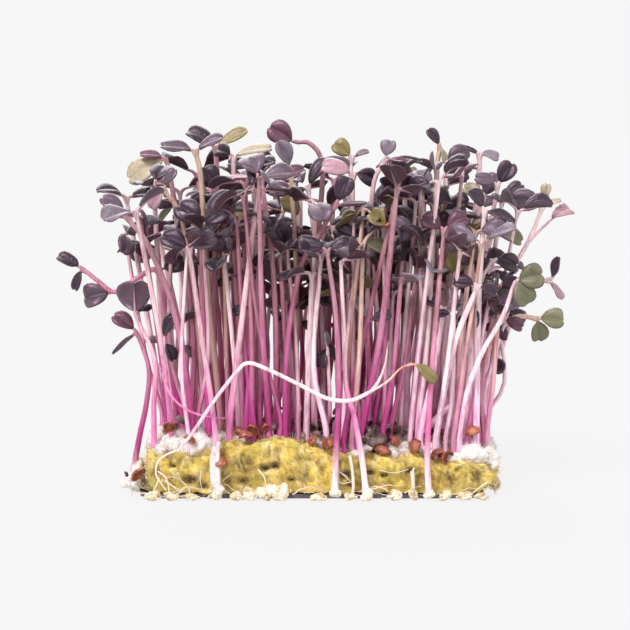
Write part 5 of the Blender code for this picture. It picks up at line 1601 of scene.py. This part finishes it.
# A root's bends in the front view, and its half width where it begins and ends
FACE_ROOTS = (
    (((-30.8, 11.2), (-33.2, 10.2), (-35.0, 8.4), (-35.3, 5.8), (-34.2, 3.8), (-33.0, 2.2)), 0.26, 0.14),
    (((-34.9, 6.6), (-33.2, 5.2), (-32.6, 3.6), (-32.4, 2.0)), 0.2, 0.12),
    (((-34.6, 5.0), (-35.2, 3.4), (-36.0, 2.2)), 0.2, 0.12),
    (((-33.4, 4.4), (-31.8, 3.4), (-30.6, 2.2)), 0.18, 0.1),
    (((8.6, 10.2), (9.2, 6.5), (9.4, 3.4), (9.2, 1.4)), 0.4, 0.34),
    (((22.7, 6.6), (22.9, 4.4), (23.0, 2.0)), 0.5, 0.42),
    (((23.2, 7.4), (22.5, 5.8), (22.7, 4.6)), 0.24, 0.24),
    (((-12.2, 7.0), (-10.9, 5.4), (-10.4, 3.6)), 0.2, 0.14),
    (((5.6, 4.4), (7.2, 3.8), (9.0, 4.2)), 0.12, 0.09),
    (((5.8, 6.6), (7.6, 5.6), (8.4, 4.6)), 0.1, 0.08),
    (((40.0, 4.2), (38.2, 3.0), (36.2, 1.4), (35.0, 0.7)), 0.2, 0.12),
    (((-25.0, 6.8), (-25.3, 4.6), (-24.9, 2.4)), 0.12, 0.08),
    (((15.4, 6.8), (18.6, 6.2), (21.8, 7.0)), 0.1, 0.08),
)
FACE_ROOT_TINT = np.array((0.88, 0.76, 0.62))
draw = random.Random(170)
face_paths = []
for knots, thick, thin in FACE_ROOTS:
    spots = []
    for x, z in knots:
        depth = -25.9 - 0.35 * math.sin(math.pi * min(1.0, z / 9)) - thick
        spots.append(sighted(x, z, depth))
    line = curve_through(spots, 5 * (len(spots) - 1) + 1)
    tint = np.tile(FACE_ROOT_TINT * draw.uniform(0.9, 1.0), (len(line), 1))
    face_paths.append((line, np.linspace(thick, thin, len(line)), tint))
face_roots = draw_tubes("front_roots", face_paths, root_strand_material, 7)
finish_piece(face_roots, "root")

# Hairy root
# One root that stays thick with hairs all the way down the pad's face, beside a seed hull. The same
# living root, swollen with down towards its foot.
HAIRY_ROOT = ((-21.2, 13.4), (-21.9, 11.2), (-22.2, 8.8), (-22.1, 5.8), (-21.6, 3.4), (-20.6, 1.9))
HAIRY_TINT = (0.93, 0.86, 0.82)
line = curve_through([sighted(x, z, -26.9) for x, z in HAIRY_ROOT], 26)
share = np.linspace(0, 1, len(line))
girths = 0.62 + 0.5 * share ** 0.6 + np.array([0.1 * rumple(*spot, 1.2) for spot in line])
path = (line, girths, np.tile(HAIRY_TINT, (len(line), 1)))
hairy_root = draw_tubes("hairy_root", [path], felt_material, 12)
all_fuzzy(hairy_root)
hairy_down = strew("hairy_root_down", hairy_root, hairs, hair_material, density=320, seed=14,
                   smallest=0.3, largest=0.7, lean=1.0)
drop_kit(hairs)
finish_piece(hairy_root, "root")
finish_piece(hairy_down, "root")

# Seed hulls
# The coats that the sprouts shed: thin brown domes, split and cupped, caught in the felt and a few up in
# the leaves. Dry glossy seed coat that burst and curled as the sprout came out.

# The hulls that show at the front, as (x, height, y)
HULL_SPOTS = ((-32.5, 16.0, -22), (-27.9, 13.2, -23), (-13.4, 15.6, -24), (-15.0, 14.2, -23.6),
              (0.4, 13.0, -22.5), (3.9, 12.4, -22.5), (16.0, 10.8, -22.8), (18.8, 12.6, -21),
              (23.6, 11.6, -22), (31.0, 9.2, -23), (28.6, 9.9, -22.5), (36.8, 14.8, -21),
              (-20.6, 8.6, -26.4), (-39.6, 4.9, -21.5), (7.6, 13.4, -18), (26.0, 12.4, -17))
# How many kinds of hull there are, and how many more hulls are drawn over the bed
HULL_KINDS = 5
DRAWN_HULLS = 70
HULL_THICKNESS = 0.14


def hull_mesh(name, seed, material):
    """A thin split dome, open at one side."""
    draw = random.Random(seed)
    bm = bmesh.new()
    bmesh.ops.create_uvsphere(bm, u_segments=12, v_segments=9, radius=1)
    mouth = draw.uniform(-0.5, 0.1)
    centres = [(face, face.calc_center_median()) for face in bm.faces]
    gone = [face for face, centre in centres if centre.z < mouth - 0.25 * centre.x]
    bmesh.ops.delete(bm, geom=gone, context="FACES")
    for vert in bm.verts:
        spot = vert.co.copy()
        dish = 0.1 * rumple(*(spot * 3 + Vector((seed, 0, 0))), 2.2)
        vert.co = Vector((spot.x * 1.5, spot.y * 1.25, spot.z * 1.05)) * (1 + dish)
    bmesh.ops.recalc_face_normals(bm, faces=bm.faces)
    bmesh.ops.solidify(bm, geom=bm.faces[:], thickness=HULL_THICKNESS)
    bm.transform(Matrix.Scale(MM, 4))
    return mesh_piece(name, bm, material)


def placed_tree():
    """Pieces of a collection on a mesh's points, turned and sized as each point says."""
    tree, start, end = new_tree("placed_pieces", (
        ("Points", "Geometry"), ("Pieces", "Collection"), ("Finish", "Material")))
    turn = put(tree, "GeometryNodeInputNamedAttribute", {"Name": "turn"}, data_type="FLOAT_VECTOR")
    size = put(tree, "GeometryNodeInputNamedAttribute", {"Name": "size"}, data_type="FLOAT")
    kinds = put(tree, "GeometryNodeCollectionInfo", {
        "Collection": start["Pieces"], "Separate Children": True, "Reset Children": True})
    pick = put(tree, "FunctionNodeRandomValue", {"Min": 0, "Max": 99, "Seed": 3}, data_type="INT")
    laid = put(tree, "FunctionNodeEulerToRotation", {"Euler": turn.outputs[0]})
    put_down = put(tree, "GeometryNodeInstanceOnPoints", {
        "Points": start["Points"], "Instance": kinds.outputs[0], "Pick Instance": True,
        "Instance Index": pick.outputs[2], "Rotation": laid.outputs[0], "Scale": size.outputs[0]})
    close_tree(tree, put_down.outputs[0], start["Finish"], end)
    return tree


PLACED = placed_tree()


def place_pieces(name, spots, kit, material):
    obj = mesh_object(name, [(x * MM, y * MM, z * MM) for x, y, z, turn, size in spots], ())
    add_field(obj.data, "turn", [turn for x, y, z, turn, size in spots], "FLOAT_VECTOR", "vector")
    add_field(obj.data, "size", [size for x, y, z, turn, size in spots])
    return settle(add_tree(obj, PLACED, pieces=kit, finish=material))


def any_turn(draw, tilt):
    """A turn any way round, tipped over by no more than the tilt."""
    return (draw.uniform(-tilt, tilt), draw.uniform(-tilt, tilt), draw.uniform(-math.pi, math.pi))


hull_material = grown_material("seed_hull", 0.4, (700, 2600, 1.0, 0.25), (
    (0.09, 0.025, 0.02), (0.23, 0.062, 0.03), (0.37, 0.105, 0.05), (0.50, 0.21, 0.12)))
hull_kit = new_kit("hull_kit")
for number in range(HULL_KINDS):
    move_to_kit(hull_mesh(f"hull_kind_{number}", 20 + number, hull_material), hull_kit)
draw = random.Random(180)
spots = [(x, y, z, any_turn(draw, 1.2), draw.uniform(1.1, 1.35)) for x, z, y in HULL_SPOTS]
for place, size in (((17, 62, -25), 0.95), ((37.4, 69.5, -6), 0.9)):
    spots.append((*sighted(*place), any_turn(draw, 0.5), size))
for number in range(DRAWN_HULLS):
    x, y = draw.uniform(-35, 38), draw.uniform(-21, 22)
    spots.append((x, y, mat_top(x, y) + draw.uniform(1.4, 3.0), any_turn(draw, 1.3),
                  draw.uniform(0.75, 1.0)))
hulls = place_pieces("seed_hulls", spots, hull_kit, hull_material)
finish_piece(hulls, "hull")

# Husk litter
# Dark scraps of seed coat and old leaf that lie in the felt, thickest right of the middle. Dry and
# crumbled, they fell there as the stand grew. Their near-black is partly painted shade that darkens the
# gaps between the stems' feet. They take the hulls' shapes, most of them smaller.

# How many lie round the middle, in one heap at the rim, and over the whole bed
LITTER_MIDDLE = 130
LITTER_HEAP = 14
LITTER_BED = 90
draw = random.Random(190)
# Near black: partly the scraps' own colour, partly painted shade in the gaps between the stems' feet.
litter_and_shade_material = grown_material("dark_litter", 0.6, (260, 3000, 1.0, 0.4), (
    (0.035, 0.022, 0.026), (0.10, 0.065, 0.062), (0.22, 0.15, 0.135), (0.42, 0.33, 0.30)), specular=0.3)
spots = []
for number in range(LITTER_MIDDLE):
    x, y = draw.triangular(-12, 26, 9), draw.uniform(-22, -2)
    spots.append((x, y, mat_top(x, y) + draw.uniform(0.4, 3.8), any_turn(draw, 1.5),
                  draw.uniform(0.5, 0.9)))
for number in range(LITTER_HEAP):
    spots.append((draw.uniform(11.0, 17.5), draw.uniform(-20.5, -17.5), draw.uniform(11.0, 14.8),
                  any_turn(draw, 1.5), draw.uniform(0.9, 1.4)))
spots.append((-42.6, -20.4, 5.0, (0.4, 0.9, 0), 0.5))
spots.append((-29.8, -19.5, 17.4, (0.2, 0.4, 0), 1.0))
for number in range(LITTER_BED):
    x, y = draw.uniform(-34, 38), draw.uniform(-20, 21)
    spots.append((x, y, mat_top(x, y) + draw.uniform(0.8, 3.2), any_turn(draw, 1.5),
                  draw.uniform(0.4, 0.8)))
litter = place_pieces("husk_litter", spots, hull_kit, litter_and_shade_material)
drop_kit(hull_kit)
finish_piece(litter, "hull")

# Studio
# A plain white sweep, even light from all round with three soft suns, and the camera of the
# photograph: 472 mm from the pad's front edge and 5 degrees above the level.
AIM = Vector((0.7, VIEW_FRONT, 42.1)) * MM
CAMERA_BACK = VIEW_DISTANCE * MM
CAMERA_RISE = math.radians(5)
LENS = 119.9
# How white the background and the floor's own light are, and how strongly the sky lights the stand
SCREEN_WHITE = 0.922
FLOOR_WHITE = 0.855
SKY_LIGHT = 0.74
# The soft suns: name, turns in degrees, power and how wide each is in degrees
SUNS = (("key", (44, 0, -30), 2.9, 24), ("fill", (66, 0, 50), 0.7, 60), ("sweep", (-52, 0, 12), 2.1, 50))
# The floor's half side, and how far it lies under the tray, in metres
FLOOR_HALF = 30
FLOOR_DROP = 0.0001

world = bpy.data.worlds.new("white_studio")
bpy.context.scene.world = world
world.use_nodes = True
sky = world.node_tree
seen = put(sky, "ShaderNodeBackground", {"Color": (*[SCREEN_WHITE] * 3, 1), "Strength": 1.0})
lit = put(sky, "ShaderNodeBackground", {"Color": (1, 1, 1, 1), "Strength": SKY_LIGHT})
looked_at = put(sky, "ShaderNodeLightPath").outputs["Is Camera Ray"]
both = put(sky, "ShaderNodeMixShader", {0: looked_at, 1: lit.outputs[0], 2: seen.outputs[0]})
sky.links.new(both.outputs[0], sky.nodes["World Output"].inputs["Surface"])
for name, turn, power, spread in SUNS:
    sun = bpy.data.lights.new(name, "SUN")
    sun.energy = power
    sun.angle = math.radians(spread)
    add_object(name, sun).rotation_euler = [math.radians(angle) for angle in turn]
corners = [(x * FLOOR_HALF, y * FLOOR_HALF, -FLOOR_DROP) for x, y in ((-1, -1), (1, -1), (1, 1), (-1, 1))]
floor = mesh_object("floor", corners, [(0, 1, 2, 3)])
paper = bpy.data.materials.new("white_paper")
paper.use_nodes = True
white = paper.node_tree.nodes["Principled BSDF"].inputs
white["Base Color"].default_value = (0.04, 0.04, 0.04, 1)
white["Roughness"].default_value = 1.0
white["Specular IOR Level"].default_value = 0.0
white["Emission Color"].default_value = (1, 1, 1, 1)
white["Emission Strength"].default_value = FLOOR_WHITE
floor.data.materials.append(paper)
camera = bpy.data.cameras.new("camera")
camera.lens = LENS
camera.sensor_width = 36
camera.clip_end = 100
eye = add_object("camera", camera)
back = Vector((0, -math.cos(CAMERA_RISE), math.sin(CAMERA_RISE))) * CAMERA_BACK
eye.location = AIM + back
eye.rotation_euler = (-back).to_track_quat("-Z", "Y").to_euler()
bpy.context.scene.camera = eye
bpy.context.scene.view_settings.view_transform = "Standard"
